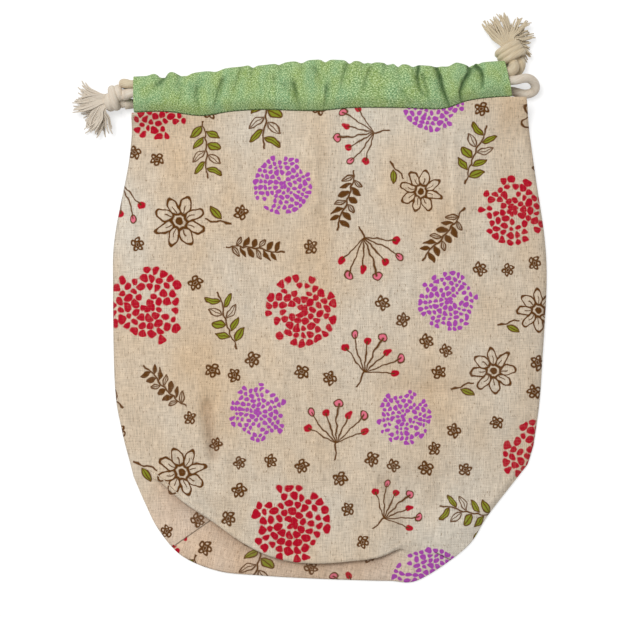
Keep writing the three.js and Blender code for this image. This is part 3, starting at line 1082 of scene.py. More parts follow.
@dataclass(frozen=True)
class PrintedLinen:
    """Natural linen with slubs and flecks, printed with a tossed floral, or plain as on its reverse."""

    printed: bool = True
    cool: Colour = dye(218, 208, 192)
    warm: Colour = dye(214, 188, 156)
    fleck: Colour = dye(136, 108, 78)
    # seam: the corner seams' dark line, partly their own stitching and partly painted shade in their narrow
    # crease.
    seam: Colour = dye(78, 60, 42)
    # Painted warm bounce light on the base strip under the fold, multiplied into its colour.
    strip: Colour = (1.09, 1.01, 0.99, 1.0)
    # Painted shade in the front's sharp creases and under the fold, laid by the depth in their map.
    painted_shade: Colour = dye(128, 98, 74)
    threads: float = 620.0
    warp: Grain = Grain(1250, 120)
    weft: Grain = Grain(120, 1250)
    cloud: Grain = Grain(15, 9, 4.0)
    streak: Grain = Grain(190, 34)
    slub: Grain = Grain(1150, 330, 1.0)
    warm_patches: Flecks = Flecks(0.5, 0.5)
    dark_flecks: Flecks = Flecks(0.72, 0.06, 0.6)
    thread_tone: Triple = (0.66, 0.48, 0.22)
    ground_tone: float = 0.32
    # How strongly the painted shade shows by depth.
    painted_shade_scale: float = 0.13
    painted_shade_cover: float = 0.7
    seam_line: Pair = (0.45, 0.5)
    seam_cover: float = 0.75
    weave_share: float = 0.22
    hand_pitch: float = 1.2
    hand_shake: float = 0.38
    kind_edge: Pair = (0.3, 0.1)
    ink_full: float = 1.22
    ink_broken: float = 0.24
    ink_tint: float = 0.06
    surface: Surface = Surface(depth=0.00035, strength=0.55, roughness=0.92, sheen=0.05)

    def material(self) -> Material:
        """Makes the linen.

        Returns:
            The material.
        """
        graph = Graph(bpy.data.materials.new("printed_linen" if self.printed else "linen_reverse"))
        x, y = graph.uv(Map.CLOTH)
        warp, weft, cloud, streak, slub = (
            graph.grain(x, y, look) for look in (self.warp, self.weft, self.cloud, self.streak, self.slub))
        colour = graph.blend(self.warm_patches.high(cloud), self.cool, self.warm)
        warp_tone, weft_tone, streak_tone = self.thread_tone
        shade = warp * warp_tone + weft * weft_tone + streak * streak_tone + self.ground_tone
        colour = graph.blend(1.0, colour, graph.vector(shade, shade, shade), "MULTIPLY")
        colour = graph.blend(self.dark_flecks.high(slub), colour, self.fleck)
        threads = warp + weft
        if self.printed:
            # Painted warm bounce light on the base strip, by its share in the map.
            from_seam, strip = graph.uv(Map.SEAM)
            colour = graph.blend(strip, colour, self.strip, "MULTIPLY")
            colour = self.overprint(graph, colour, threads)
            # Painted shade in the sharp creases and under the fold.
            depth = graph.uv(Map.FOLD)[0]
            colour = graph.blend(depth.clamped(self.painted_shade_scale) * self.painted_shade_cover, colour, self.painted_shade)
            # Dark line along the corner seams: their stitching, and painted shade in their narrow crease.
            colour = graph.blend(from_seam.stroke(*self.seam_line) * self.seam_cover, colour, self.seam)
        relief = graph.weave(x, y, self.threads) * self.weave_share + threads
        return graph.finish(colour, relief, self.surface)

    def overprint(self, graph: Graph, cloth: NodeSocket, threads: Wire) -> NodeSocket:
        """Lays the inks over the cloth.

        Args:
            graph: the material's nodes.
            cloth: colour of the bare cloth.
            threads: unevenness of the threads, which breaks the ink up.

        Returns:
            Colour of the printed cloth.
        """
        drawn = graph.node("ShaderNodeUVMap", uv_map=Map.MOTIF.value).outputs[0]
        x, y = graph.split(drawn)
        shake_x, shake_y = graph.split(graph.clouds(drawn, self.hand_pitch, 1.0).outputs[1])
        kind, tint = graph.uv(Map.MOTIF_KIND)
        place = Place(x + (shake_x - 0.5) * self.hand_shake, y + (shake_y - 0.5) * self.hand_shake, tint)
        layers: Masks = {}
        for member, drawing in DRAWINGS.items():
            chosen = (kind - float(member)).stroke(*self.kind_edge)
            for ink, mask in drawing.draw(place).items():
                shown = mask & chosen
                layers[ink] = layers[ink] | shown if ink in layers else shown
        cover = (tint * self.ink_tint + (self.ink_full - threads * self.ink_broken)).clamped(1.0)
        for ink in Ink:
            cloth = graph.blend(layers[ink] & cover, cloth, ink.value)
        return cloth


@dataclass(frozen=True)
class GreenLinen:
    """Green linen of mixed light and dark yarns."""

    cool: Colour = dye(152, 190, 140)
    warm: Colour = dye(162, 186, 112)
    light: Colour = dye(208, 230, 172)
    dark: Colour = dye(82, 116, 54)
    # Painted shade in the pleats, laid by the depth in their map.
    painted_shade: Colour = dye(50, 82, 40)
    threads: float = 690.0
    streak: Grain = Grain(1150, 380)
    cross: Grain = Grain(420, 1150)
    bright: Grain = Grain(1080, 1020, 0.0)
    deep: Grain = Grain(1050, 1160, 0.0)
    deep_shift: float = 0.7
    patch: Grain = Grain(80, 44)
    warm_patches: Flecks = Flecks(0.5, 0.34)
    dark_streaks: Flecks = Flecks(0.46, 0.2, 0.55)
    light_streaks: Flecks = Flecks(0.56, 0.2, 0.34)
    dark_specks: Flecks = Flecks(0.36, 0.08, 0.72)
    light_specks: Flecks = Flecks(0.665, 0.06, 0.92)
    # How strongly the painted shade in the pleats shows by depth.
    painted_shade_scale: float = 0.29
    painted_shade_curve: float = 1.5
    painted_shade_cover: float = 0.8
    weave_share: float = 0.3
    surface: Surface = Surface(depth=0.0003, strength=0.5, roughness=0.9, sheen=0.1)

    def material(self) -> Material:
        """Makes the green cloth: a fine slanting weave of streaks, with light and dark specks, and painted
        shade in the pleats.

        Returns:
            The material.
        """
        graph = Graph(bpy.data.materials.new("green_linen"))
        x, y = graph.uv(Map.CLOTH)
        streak, cross = (graph.grain(x + y, x - y, look) for look in (self.streak, self.cross))
        bright, patch = (graph.grain(x, y, look) for look in (self.bright, self.patch))
        deep = graph.grain(x + self.deep_shift, y, self.deep)
        colour = graph.blend(self.warm_patches.high(patch), self.cool, self.warm)
        layers = (
            (self.dark_streaks.low(streak), self.dark), (self.light_streaks.high(cross), self.light),
            (self.dark_specks.low(deep), self.dark), (self.light_specks.high(bright), self.light))
        for share, yarn in layers:
            colour = graph.blend(share, colour, yarn)
        # Painted shade in the pleats, by their depth.
        depth = graph.uv(Map.FOLD)[0].clamped(self.painted_shade_scale)
        colour = graph.blend(depth.power(self.painted_shade_curve) * self.painted_shade_cover, colour, self.painted_shade)
        relief = graph.weave(x, y, self.threads) * self.weave_share + (streak + cross)
        return graph.finish(colour, relief, self.surface)


@dataclass(frozen=True)
class CottonCord:
    """Soft unbleached cotton yarn, laid in a slow twist."""

    name: str
    ground: Colour
    # shade: the cotton's darker fibres, and also the colour of the painted shade between the plies.
    shade: Colour
    lay: float = 0.016
    plies: float = 3.0
    ply_share: float = 0.35
    # Painted shade in the valleys between the plies.
    ply_valley_shade: Flecks = Flecks(0.16, 0.3, 0.3)
    fibre: Grain = Grain(160, 26)
    fibre_twist: float = 20.0
    fibre_span: Triple = (0.5, 0.95, 0.35)
    fuzz: Grain = Grain(900, 40)
    surface: Surface = Surface(depth=0.0005, strength=0.5, roughness=0.88, sheen=0.25)

    def material(self) -> Material:
        """Makes the cotton: the map runs along the yarn in metres and once round it.

        Returns:
            The material.
        """
        graph = Graph(bpy.data.materials.new(self.name))
        along, around = graph.uv(Map.YARN)
        twist = along * (1 / self.lay) + around * self.plies
        ply = (twist * TURN).sine() * 0.5 + 0.5
        fibre = graph.grain(along, around + along * self.fibre_twist, self.fibre)
        fuzz = graph.grain(along, around, self.fuzz)
        colour = graph.blend(fibre.between(*self.fibre_span), self.ground, self.shade)
        # Painted shade in the valleys between the plies.
        colour = graph.blend(self.ply_valley_shade.low(ply), colour, self.shade)
        return graph.finish(colour, ply * self.ply_share + (fibre + fuzz), self.surface)


@dataclass(frozen=True)
class SewingThread:
    """Dark green sewing thread."""

    ground: Colour = dye(74, 98, 58)
    dark: Colour = dye(50, 66, 40)
    ply: Grain = Grain(2600, 1400)
    surface: Surface = Surface(depth=0.0002, strength=0.4, roughness=0.8, sheen=0.1)

    def material(self) -> Material:
        """Makes the thread, with a fine twist.

        Returns:
            The material.
        """
        graph = Graph(bpy.data.materials.new("sewing_thread"))
        x, y = graph.split(graph.node("ShaderNodeTexCoord").outputs["Object"])
        ply = graph.grain(x, y, self.ply)
        return graph.finish(graph.blend(ply, self.ground, self.dark), ply, self.surface)


@dataclass
class Finishes:
    """The materials, each made once."""

    printed: Material = field(default_factory=PrintedLinen().material)
    reverse: Material = field(default_factory=PrintedLinen(printed=False).material)
    green: Material = field(default_factory=GreenLinen().material)
    pale_cotton: Material = field(default_factory=CottonCord(
        "pale_cotton", ground=dye(231, 221, 205), shade=dye(221, 205, 185)).material)
    # A darker, warmer copy of the cotton for the right cord: painted shade.
    shaded_cotton: Material = field(default_factory=CottonCord(
        "shaded_cotton", ground=dye(225, 211, 183), shade=dye(211, 191, 159)).material)
    thread: Material = field(default_factory=SewingThread().material)


def placed(name: str, data: ID) -> Object:
    """Puts new data into the scene.

    Args:
        name: the object's name.
        data: its mesh, lamp or camera.

    Returns:
        The object.
    """
    made = bpy.data.objects.new(name, data)
    bpy.context.scene.collection.objects.link(made)
    return made


def piece(name: str, mesh: BMesh, materials: Sequence[Material], body: Body,
          node: str | None = None) -> Object:
    """Turns a bmesh into a smooth piece that rides on a body.

    Args:
        name: the piece's name.
        mesh: its shape, which is freed.
        materials: its materials in order.
        body: the body it rides on.
        node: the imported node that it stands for.

    Returns:
        The object.
    """
    data = bpy.data.meshes.new(name)
    for face in mesh.faces:
        face.smooth = True
    mesh.to_mesh(data)
    mesh.free()
    made = placed(name, data)
    for material in materials:
        data.materials.append(material)
    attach(made, body.value)
    if node:
        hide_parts(node)
    LOG.info("%s: %d faces on %s", name, len(data.polygons), body.value)
    return made


def thicken(made: Object, thickness: float, offset: float, inner: int = 0) -> None:
    """Gives a sheet its thickness.

    Args:
        made: the sheet.
        thickness: of the cloth.
        offset: 0 to both sides, -1 inwards.
        inner: how many material slots further the inner side's is.
    """
    solid = made.modifiers.new("cloth", "SOLIDIFY")
    solid.thickness = thickness
    solid.offset = offset
    solid.material_offset = inner
    solid.material_offset_rim = inner


def flat_grid(columns: int, rows: int) -> BMesh:
    """A flat grid, one unit wide and high, that a sheet is shaped from.

    Args:
        columns: faces across.
        rows: faces down.

    Returns:
        The grid, its vertices numbered.
    """
    mesh = bmesh.new()
    bmesh.ops.create_grid(mesh, x_segments=columns, y_segments=rows, size=HALF_GRID)
    mesh.verts.index_update()
    return mesh


def grid_cell(vert: BMVert, columns: int, rows: int) -> tuple[int, int]:
    """Column and row of a vertex of a flat grid, counted from its upper left corner."""
    return round((vert.co.x + HALF_GRID) * columns), round((HALF_GRID - vert.co.y) * rows)


def closed(mesh: BMesh) -> BMesh:
    """Welds the seams of tubes and the tips of yarns, and turns the faces outwards.

    Args:
        mesh: the tubes or yarns.

    Returns:
        The same mesh.
    """
    bmesh.ops.remove_doubles(mesh, verts=mesh.verts, dist=WELD)
    bmesh.ops.recalc_face_normals(mesh, faces=mesh.faces)
    return mesh


@dataclass
class ClothPlaces:
    """What a panel's maps need of its vertices, by their index.

    That is each one's place on the flat cloth, how deep a painted shade it takes in creases and under the fold,
    whether it lies below the fold's edge, and for those on the strip that shows there their share of its
    painted warm bounce light.
    """

    flats: dict[int, Pair] = field(default_factory=dict)
    painted_shades: dict[int, float] = field(default_factory=dict)
    base: set[int] = field(default_factory=set)
    strip: dict[int, float] = field(default_factory=dict)


@dataclass
class Panels:
    """The front panel, which folds over the tucked base, and the back panel, which lies flat."""

    shape: BagShape
    repeat: PrintRepeat
    finishes: Finishes
    cloth: float = 0.0007
    columns: int = 152
    upper_rows: int = 140
    base_rows: int = 48
    back_columns: int = 76
    back_rows: int = 84
    back_split: float = 0.86
    section_shares: Triple = (0.22, 0.40, 0.52)
    under_share: float = 0.3
    strip_share: float = 0.55
    plain_roundness: float = 1.5
    base_ripple: Ripple = Ripple(0.9 * MM, 40, 40, 5.1)
    front_flat: Pair = (0.313, 0.375)
    back_flat: Pair = (0.313, 0.339)
    # Painted shadow under the fold: its strength, and how far from the fold's edge it fades.
    fold_shadow_strength: float = 6.0
    fold_shade: float = 0.0065
    strip_rise: float = 0.0024
    strip_turn: float = 12.0
    strip_pivot: Pair = (0.060, -0.158)
    strip_fade: Pair = (0.042, 0.078)
    front_shift: Pair = (0.0, 0.0)
    back_shift: Pair = (0.093, 0.041)
    corner_seams: tuple[tuple[Pair, Pair], ...] = (
        ((-0.0863, -0.1436), (-0.1130, -0.1626)), ((0.0890, -0.1733), (0.0680, -0.1626)))
    groove_depth: float = 0.0007
    groove_width: float = 0.0016
    seam_past: Pair = (0.002, 0.006)
    corner_past: Pair = (0.012, 0.030)
    corner_far: float = 75.0
    seam_near: float = 4.0
    seam_far: float = 9.0

    @cached_property
    def grooves(self) -> tuple[Crease, ...]:
        """The grooves along the boxed corners' seams."""
        return tuple(Crease(ends, -self.groove_depth, self.groove_width) for ends in self.corner_seams)

    def folded(self, t: float, width: float) -> Pair:
        """A point of the folded base section: the fold, the run under it, the tuck, and the strip that shows.

        Args:
            t: share along the section, from the fold's start to the lower edge.
            width: from the fold edge to the lower edge.

        Returns:
            Distance out from the fold edge, and height.
        """
        shape = self.shape
        fold_end, run_end, tuck_end = self.section_shares
        inner = shape.tuck_radius - shape.tuck_depth
        if t < fold_end:
            angle = math.pi * (0.5 - t / fold_end)
            return (shape.fold_radius * (math.cos(angle) - 1),
                    shape.fold_z - shape.fold_radius * (1 - math.sin(angle)))
        if t < run_end:
            return mix(-shape.fold_radius, inner, (t - fold_end) / (run_end - fold_end)), shape.tuck_z
        if t < tuck_end:
            angle = math.pi * (t - run_end) / (tuck_end - run_end)
            return (inner - shape.tuck_radius * math.sin(angle),
                    shape.tuck_z - shape.tuck_radius * (1 - math.cos(angle)))
        along = (t - tuck_end) / (1 - tuck_end)
        out = mix(inner, width, along)
        rise = self.strip_rise * smooth(out, inner, 0.0) * (1 - clamp(out / width) ** 3)
        return out, mix(shape.strip_z, shape.seam_z, along * along) + rise

    def base_section(self, u: float) -> list[tuple[Vector, Pair, float]]:
        """The base below the fold at a place across the bag.

        Args:
            u: share across, from left to right.

        Returns:
            For each row, the point, its place on the flat cloth, and how much painted shadow from the fold it
            takes.
        """
        shape = self.shape
        out_x, out_y, width = shape.base_span(u)
        share = shape.fold_share(u)
        edge_x, edge_y = shape.fold.at(u)
        start_x, start_y = shape.fold_start(u)
        start_z = shape.upper_height(u, 1.0, 0.0)
        before = (-shape.fold_radius * share, start_z)
        gone = 0.0
        rows = []
        for row in range(1, self.base_rows + 1):
            t = row / self.base_rows
            plain = width * t, mix(start_z, shape.seam_z, t ** self.plain_roundness)
            out, height = mix_places(plain, self.folded(t, width), share)
            gone += math.dist((out, height), before)
            before = (out, height)
            x, y = edge_x + out_x * out, edge_y + out_y * out
            height += self.base_ripple.at(x, y) * math.sin(math.pi * t)
            if t > self.strip_share:
                height += sum(groove.at(x, y) for groove in self.grooves)
            rolled = share * (1 - smooth(t, self.under_share, self.section_shares[-1]))
            unrolled = start_x + out_x * gone, start_y + out_y * gone
            flat = mix_places(self.strip_place(x, y), unrolled, rolled)
            # Painted shadow that the fold would cast on the strip, fading away from its edge.
            shade = self.fold_shadow_strength * share * math.exp(-abs(out) / self.fold_shade)
            rows.append((Vector((x, y, height)), flat, shade if t > self.under_share else 0.0))
        return rows

    def strip_place(self, x: float, y: float) -> Pair:
        """Where a place on the base strip is on the flat cloth, which is turned about the fold's right end.

        Args:
            x, y: the place in plan.

        Returns:
            The place on the flat cloth.
        """
        pivot_x, pivot_y = self.strip_pivot
        turn = math.radians(self.strip_turn) * (1 - smooth(x, *self.strip_fade))
        off_x, off_y = rotated(x - pivot_x, y - pivot_y, turn)
        return pivot_x + off_x, pivot_y + off_y

    def seam_side(self, x: float, y: float) -> tuple[float, bool]:
        """Where a place on the base strip is from the nearest boxed corner's seam.

        Args:
            x, y: the place in plan.

        Returns:
            Signed distance in millimetres, and whether the place is on the corner beyond the seam.
        """
        nearest, beyond = self.seam_far, False
        for start, end in self.corner_seams:
            dir_x, dir_y, length = way(start, end)
            off_x, off_y = x - start[0], y - start[1]
            along = off_x * dir_x + off_y * dir_y
            away = (dir_x * off_y - dir_y * off_x) / MM
            if -self.seam_past[0] < along < length + self.seam_past[1] and abs(away) < abs(nearest):
                nearest = away
            if -self.corner_past[0] < along < length + self.corner_past[1] and -self.corner_far < away < 0:
                beyond = True
        return nearest, beyond

    def print_map(self, mesh: BMesh, places: ClothPlaces, shift: Pair) -> None:
        """Writes the maps that lay weave, print, corner seams, painted shade and painted warm bounce light on a
        panel.

        Args:
            mesh: the panel's shape.
            places: what the maps need of its vertices.
            shift: where the panel was cut from the printed cloth.
        """
        cloth, motif, kinds, seams, folds = (
            which.on(mesh) for which in (Map.CLOTH, Map.MOTIF, Map.MOTIF_KIND, Map.SEAM, Map.FOLD))
        for face in mesh.faces:
            corners = {vert.index for vert in face.verts}
            on_strip = places.strip.keys() >= corners
            near, beyond = self.seam_far, False
            if places.base >= corners:
                near, beyond = self.seam_side(*face.calc_center_median().xy)
            close = on_strip and abs(near) < self.seam_near
            flats = [loop.vert.co.xy if beyond else places.flats[loop.vert.index] for loop in face.loops]
            flats = [(x + shift[0], y + shift[1]) for x, y in flats]
            owner, own_x, own_y = self.repeat.owner(*(sum(axis) / len(flats) for axis in zip(*flats)))
            unit = self.repeat.unit * owner.size
            for loop, (flat_x, flat_y) in zip(face.loops, flats):
                index, spot = loop.vert.index, loop.vert.co
                drawn_x, drawn_y = rotated(flat_x - own_x, flat_y - own_y, -owner.turn)
                loop[cloth].uv = flat_x, flat_y
                loop[motif].uv = drawn_x / unit, drawn_y / unit
                loop[kinds].uv = float(owner.kind), owner.tint
                # Depth for painted shade in creases and under the fold.
                loop[folds].uv = places.painted_shades.get(index, 0.0), 0.0
                from_seam = self.seam_side(spot.x, spot.y)[0] if close else self.seam_far
                # Distance from a corner seam, and the strip's share of painted warm bounce light.
                loop[seams].uv = from_seam, places.strip[index] if on_strip else 0.0

    def sewn(self, name: str, node: str, mesh: BMesh) -> Object:
        """A panel of printed cloth with its plain reverse inwards.

        Args:
            name: the piece's name.
            node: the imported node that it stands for.
            mesh: its shape, with its maps.

        Returns:
            The panel.
        """
        materials = (self.finishes.printed, self.finishes.reverse)
        made = piece(name, mesh, materials, Body.BAG, node)
        thicken(made, self.cloth, 0.0, 1)
        return made

    def front(self) -> None:
        """Builds the front panel."""
        shape = self.shape
        rows = self.upper_rows + self.base_rows
        mesh = flat_grid(self.columns, rows)
        sections = [self.base_section(column / self.columns) for column in range(self.columns + 1)]
        places = ClothPlaces()
        for vert in mesh.verts:
            column, row = grid_cell(vert, self.columns, rows)
            u, index = column / self.columns, vert.index
            if row <= self.upper_rows:
                v = row / self.upper_rows
                x, y = shape.upper_plan(u, v)
                vert.co = x, y, shape.upper_height(u, v, shape.relief(x, y, v))
                places.flats[index] = x, y
                # Depth of the sharp creases, for painted shade.
                places.painted_shades[index] = shape.painted_shade(x, y, v)
            else:
                below = row - self.upper_rows
                vert.co, places.flats[index], places.painted_shades[index] = sections[column][below - 1]
                places.base.add(index)
                if below > self.strip_share * self.base_rows:
                    # The strip's share of painted warm bounce light, full where the fold is.
                    places.strip[index] = shape.fold_share(u)
        self.print_map(mesh, places, self.front_shift)
        made = self.sewn("front_cloth", "front_panel", mesh)

    def back(self) -> None:
        """Builds the back panel, its printed side down."""
        shape = self.shape
        mesh = flat_grid(self.back_columns, self.back_rows)
        upper = round(self.back_rows * self.back_split)
        places = ClothPlaces()
        for vert in mesh.verts:
            column, row = grid_cell(vert, self.back_columns, self.back_rows)
            u, v = column / self.back_columns, min(row / upper, 1.0)
            x, y = shape.upper_plan(u, v)
            if row > upper:
                share = (row - upper) / (self.back_rows - upper)
                x, y = mix_places((x, y), shape.base.at(u), share)
            vert.co = x, y, shape.side_height(shape.back_casing_z, shape.back_z, v)
            places.flats[vert.index] = -x, y
        bmesh.ops.reverse_faces(mesh, faces=mesh.faces)
        self.print_map(mesh, places, self.back_shift)
        made = self.sewn("back_cloth", "back_panel", mesh)


@dataclass
class CordRoute:
    """Where one drawcord runs: straight through the front casing, round its loop, and back, in millimetres.

    Its length and the sizes of its knot and its frayed end are in metres, their directions in degrees from x.
    """

    side: str
    body: Body
    start: tuple[Triple, ...]
    front: tuple[Triple, Triple]
    loop: tuple[Triple, ...]
    back: tuple[Triple, Triple]
    end: tuple[Triple, ...]
    length: float
    heading: float
    fan: Pair
    reach: Pair
    wrap_slant: float
    wraps: float
    wrap_pitch: float
    wrap_radius: float
    knot_spread: float
    knot_shift: float
    straight_steps: int = 19

    def points(self) -> list[Vector]:
        """Lists the route's points.

        Returns:
            The points in metres, from one end at the knot to the other.
        """
        def straight(ends: tuple[Triple, Triple]) -> list[Vector]:
            """Evenly spaced points of a straight run, both ends among them."""
            first, last = (Vector(end) for end in ends)
            return [mix(first, last, step / self.straight_steps) for step in range(self.straight_steps + 1)]

        listed = [*self.start, *straight(self.front), *self.loop, *straight(self.back), *self.end]
        return [Vector(point) * MM for point in listed]

    def lane(self, x: float) -> float:
        """Where the cord runs in the front casing at a place across the bag, in metres."""
        (x0, y0, _), (x1, y1, _) = self.front
        return mix(y0 * MM, y1 * MM, (x - x0 * MM) / ((x1 - x0) * MM))


LEFT_ROUTE = CordRoute(
    side="left", body=Body.LEFT_CORD,
    start=((-148.7, 162.67, 12.55), (-147.2, 162.88, 12.6), (-145.9, 163.1, 13.3), (-144.8, 163.3, 14.7),
           (-143.7, 163.5, 16.3), (-142.2, 163.6, 17.4)),
    front=((-140.6, 163.66, 17.7), (126.4, 172.5, 17.7)),
    loop=((130.5, 172.7, 17.7), (134.5, 173.2, 17.4), (138.6, 174.3, 16.1), (142.3, 174.5, 14.0),
          (145.5, 173.2, 11.6), (147.6, 170.8, 9.3), (148.1, 168.1, 7.4), (146.9, 165.9, 5.8),
          (144.0, 164.5, 4.8), (140.2, 164.2, 4.2), (136.0, 165.2, 3.95), (131.4, 166.25, 3.9)),
    back=((126.4, 166.2, 3.9), (-140.6, 157.17, 3.9)),
    end=((-142.4, 157.15, 4.05), (-144.3, 157.15, 4.8), (-146.2, 157.1, 5.5), (-147.9, 156.93, 5.75)),
    length=0.605, heading=188.0, fan=(166.0, 264.0), reach=(0.0236, 0.0282), wrap_slant=0.07, wraps=2.2,
    wrap_pitch=0.0042, wrap_radius=0.0032, knot_spread=1.1, knot_shift=-0.002)

RIGHT_ROUTE = CordRoute(
    side="right", body=Body.RIGHT_CORD,
    start=((130.9, 185.95, 12.1), (131.75, 184.53, 12.15), (132.1, 182.9, 13.1), (131.6, 181.2, 14.8),
           (130.2, 179.8, 16.5), (128.4, 179.1, 17.5)),
    front=((126.6, 179.0, 17.7), (-140.6, 170.1, 17.7)),
    loop=((-143.4, 170.15, 17.5), (-145.2, 170.4, 16.8), (-146.7, 170.7, 15.55), (-147.75, 171.0, 14.1),
          (-148.5, 171.15, 11.9), (-148.5, 171.15, 9.7), (-147.75, 170.9, 7.5), (-146.7, 170.4, 6.05),
          (-145.2, 169.7, 4.8), (-143.4, 169.0, 4.1)),
    back=((-140.6, 168.5, 3.9), (126.6, 177.4, 3.9)),
    end=((129.9, 177.7, 3.9), (132.8, 178.6, 4.2), (135.2, 180.5, 4.7), (136.7, 182.8, 5.3),
         (137.3, 185.2, 6.1), (137.08, 187.34, 6.55), (136.05, 189.05, 6.6)),
    length=0.590, heading=121.0, fan=(-26.0, 146.0), reach=(0.0195, 0.0268), wrap_slant=0.20, wraps=3.3,
    wrap_pitch=0.0036, wrap_radius=0.0027, knot_spread=1.3, knot_shift=0.0)


def smoothed(points: Sequence[Vector], steps: int) -> list[Vector]:
    """Fills in a smooth curve between points.

    Args:
        points: the points that the curve passes.
        steps: how many steps each stretch is cut into.

    Returns:
        The finer points, the given ones among them.
    """
    last = len(points) - 1
    found = []
    for index in range(last):
        before, after = points[max(index - 1, 0)], points[min(index + 2, last)]
        start, end = points[index], points[index + 1]
        stride = (end - start).length
        leave, arrive = (end - before).normalized() * stride, (after - start).normalized() * stride
        found.extend(cubic(start, end, leave, arrive, step / steps) for step in range(steps))
    return [*found, points[last].copy()]


FLAT_YARN = 0.42
TIP_LENGTH = 0.4


def sweep(mesh: BMesh, path: Sequence[Vector], radii: Sequence[float], sides: int,
          tint: float = 0.0, across: Sequence[Vector] | None = None) -> None:
    """Adds a yarn: a round section, or a flat one, carried along a path and closed at both ends.

    Args:
        mesh: the bmesh that takes it.
        path: the middles of its rings.
        radii: the rings' radii.
        sides: corners of a ring.
        tint: shift of the map along the yarn, so that no two look alike.
        across: for a flat yarn, the way across it at each ring.
    """
    uv = Map.YARN.on(mesh)
    first, last = path[0], path[-1]
    start_tip = first - (path[1] - first).normalized() * radii[0] * TIP_LENGTH
    end_tip = last + (last - path[-2]).normalized() * radii[-1] * TIP_LENGTH
    middles = [start_tip, *path, end_tip]
    sizes = [0.0, *radii, 0.0]
    rings = len(middles) - 1
    tangents = [
        (middles[min(ring + 1, rings)] - middles[max(ring - 1, 0)]).normalized() for ring in range(rings + 1)]
    normal = tangents[0].orthogonal().normalized()
    frames, lengths, gone = [], [], tint
    for ring, tangent in enumerate(tangents):
        if across:
            normal = across[min(max(ring - 1, 0), len(across) - 1)]
        normal = (normal - tangent * normal.dot(tangent)).normalized()
        frames.append((normal.copy(), tangent.cross(normal) * (FLAT_YARN if across else 1.0)))
        gone += (middles[ring] - middles[max(ring - 1, 0)]).length
        lengths.append(gone)
    verts = bmesh.ops.create_grid(mesh, x_segments=rings, y_segments=sides, size=HALF_GRID)["verts"]
    maps = {}
    for vert in verts:
        ring = round((vert.co.x + HALF_GRID) * rings)
        share = vert.co.y + HALF_GRID
        side, up = frames[ring]
        maps[vert] = lengths[ring], share
        vert.co = middles[ring] + (side * math.cos(TURN * share) + up * math.sin(TURN * share)) * sizes[ring]
    for face in {face for vert in verts for face in vert.link_faces}:
        for loop in face.loops:
            loop[uv].uv = maps[loop.vert]


@dataclass(frozen=True)
class KnotPlace:
    """Where a knot sits: its middle, the way the cord runs on from it, sideways, and up."""

    middle: Vector
    onward: Vector
    side: Vector
    up: Vector

    def facing(self, turn: float) -> tuple[Vector, Vector]:
        """The way ahead and the way across at a turn from the cord's own way."""
        cos, sin = math.cos(turn), math.sin(turn)
        return self.onward * cos + self.side * sin, self.onward * -sin + self.side * cos


@dataclass(frozen=True)
class Wraps:
    """How the wraps of a knot lie, in shares of the knot and of the cord, and the strands inside them."""

    steps: int = 80
    sides: int = 16
    jitter: float = 0.2
    tucked: float = 0.1
    tuck_radius: float = 0.35
    tuck_pitch: float = 0.8
    tuck_width: float = 0.86
    slant_turn: float = 0.6
    strand_steps: int = 4
    strand_sides: int = 12
    strand_radius: float = 0.64
    strand_inner: float = 0.25
    strand_side: float = 0.6


@dataclass(frozen=True)
class Fray:
    """How the yarns of a frayed end lie: flat bundles in layers, with the spans that chance draws from."""

    bundles: int = 15
    layers: int = 3
    fingers: int = 9
    steps: int = 10
    sides: int = 8
    half: float = 0.00062
    pitch: float = 0.00072
    seed_shift: int = 7
    bundle_place: Pair = (0.1, 0.9)
    bundle_reach: Pair = (0.76, 1.06)
    roll: Pair = (-0.5, 0.5)
    rest: Pair = (0.0012, 0.0070)
    rest_chance: Pair = (0.0, 0.0012)
    root_side: float = 0.62
    root_up: Pair = (-0.0022, 0.0036)
    sway: Pair = (-0.24, 0.24)
    finger_reach: Pair = (0.80, 1.06)
    stray: Pair = (-0.15, 0.15)
    curl: Pair = (-0.0005, 0.0005)
    curl_turn: float = 5.0
    turning: Pair = (-0.15, 0.5)
    root_spread: float = 0.6
    spread_end: float = 0.6
    flare: float = 0.25
    sinking: Pair = (0.05, 0.85)
    arch: float = 0.0011
    widths: Pair = (0.95, 1.15)
    tip_start: float = 0.8
    tip_thinning: float = 0.45
    tints: Pair = (0.0, 0.4)


@dataclass(frozen=True)
class Bundle:
    """One bundle of a frayed end: its turn from the cord's way, its reach, and how it lies."""

    turn: float
    reach: float
    roll: float
    rest: float
    root: Vector
    sway: float


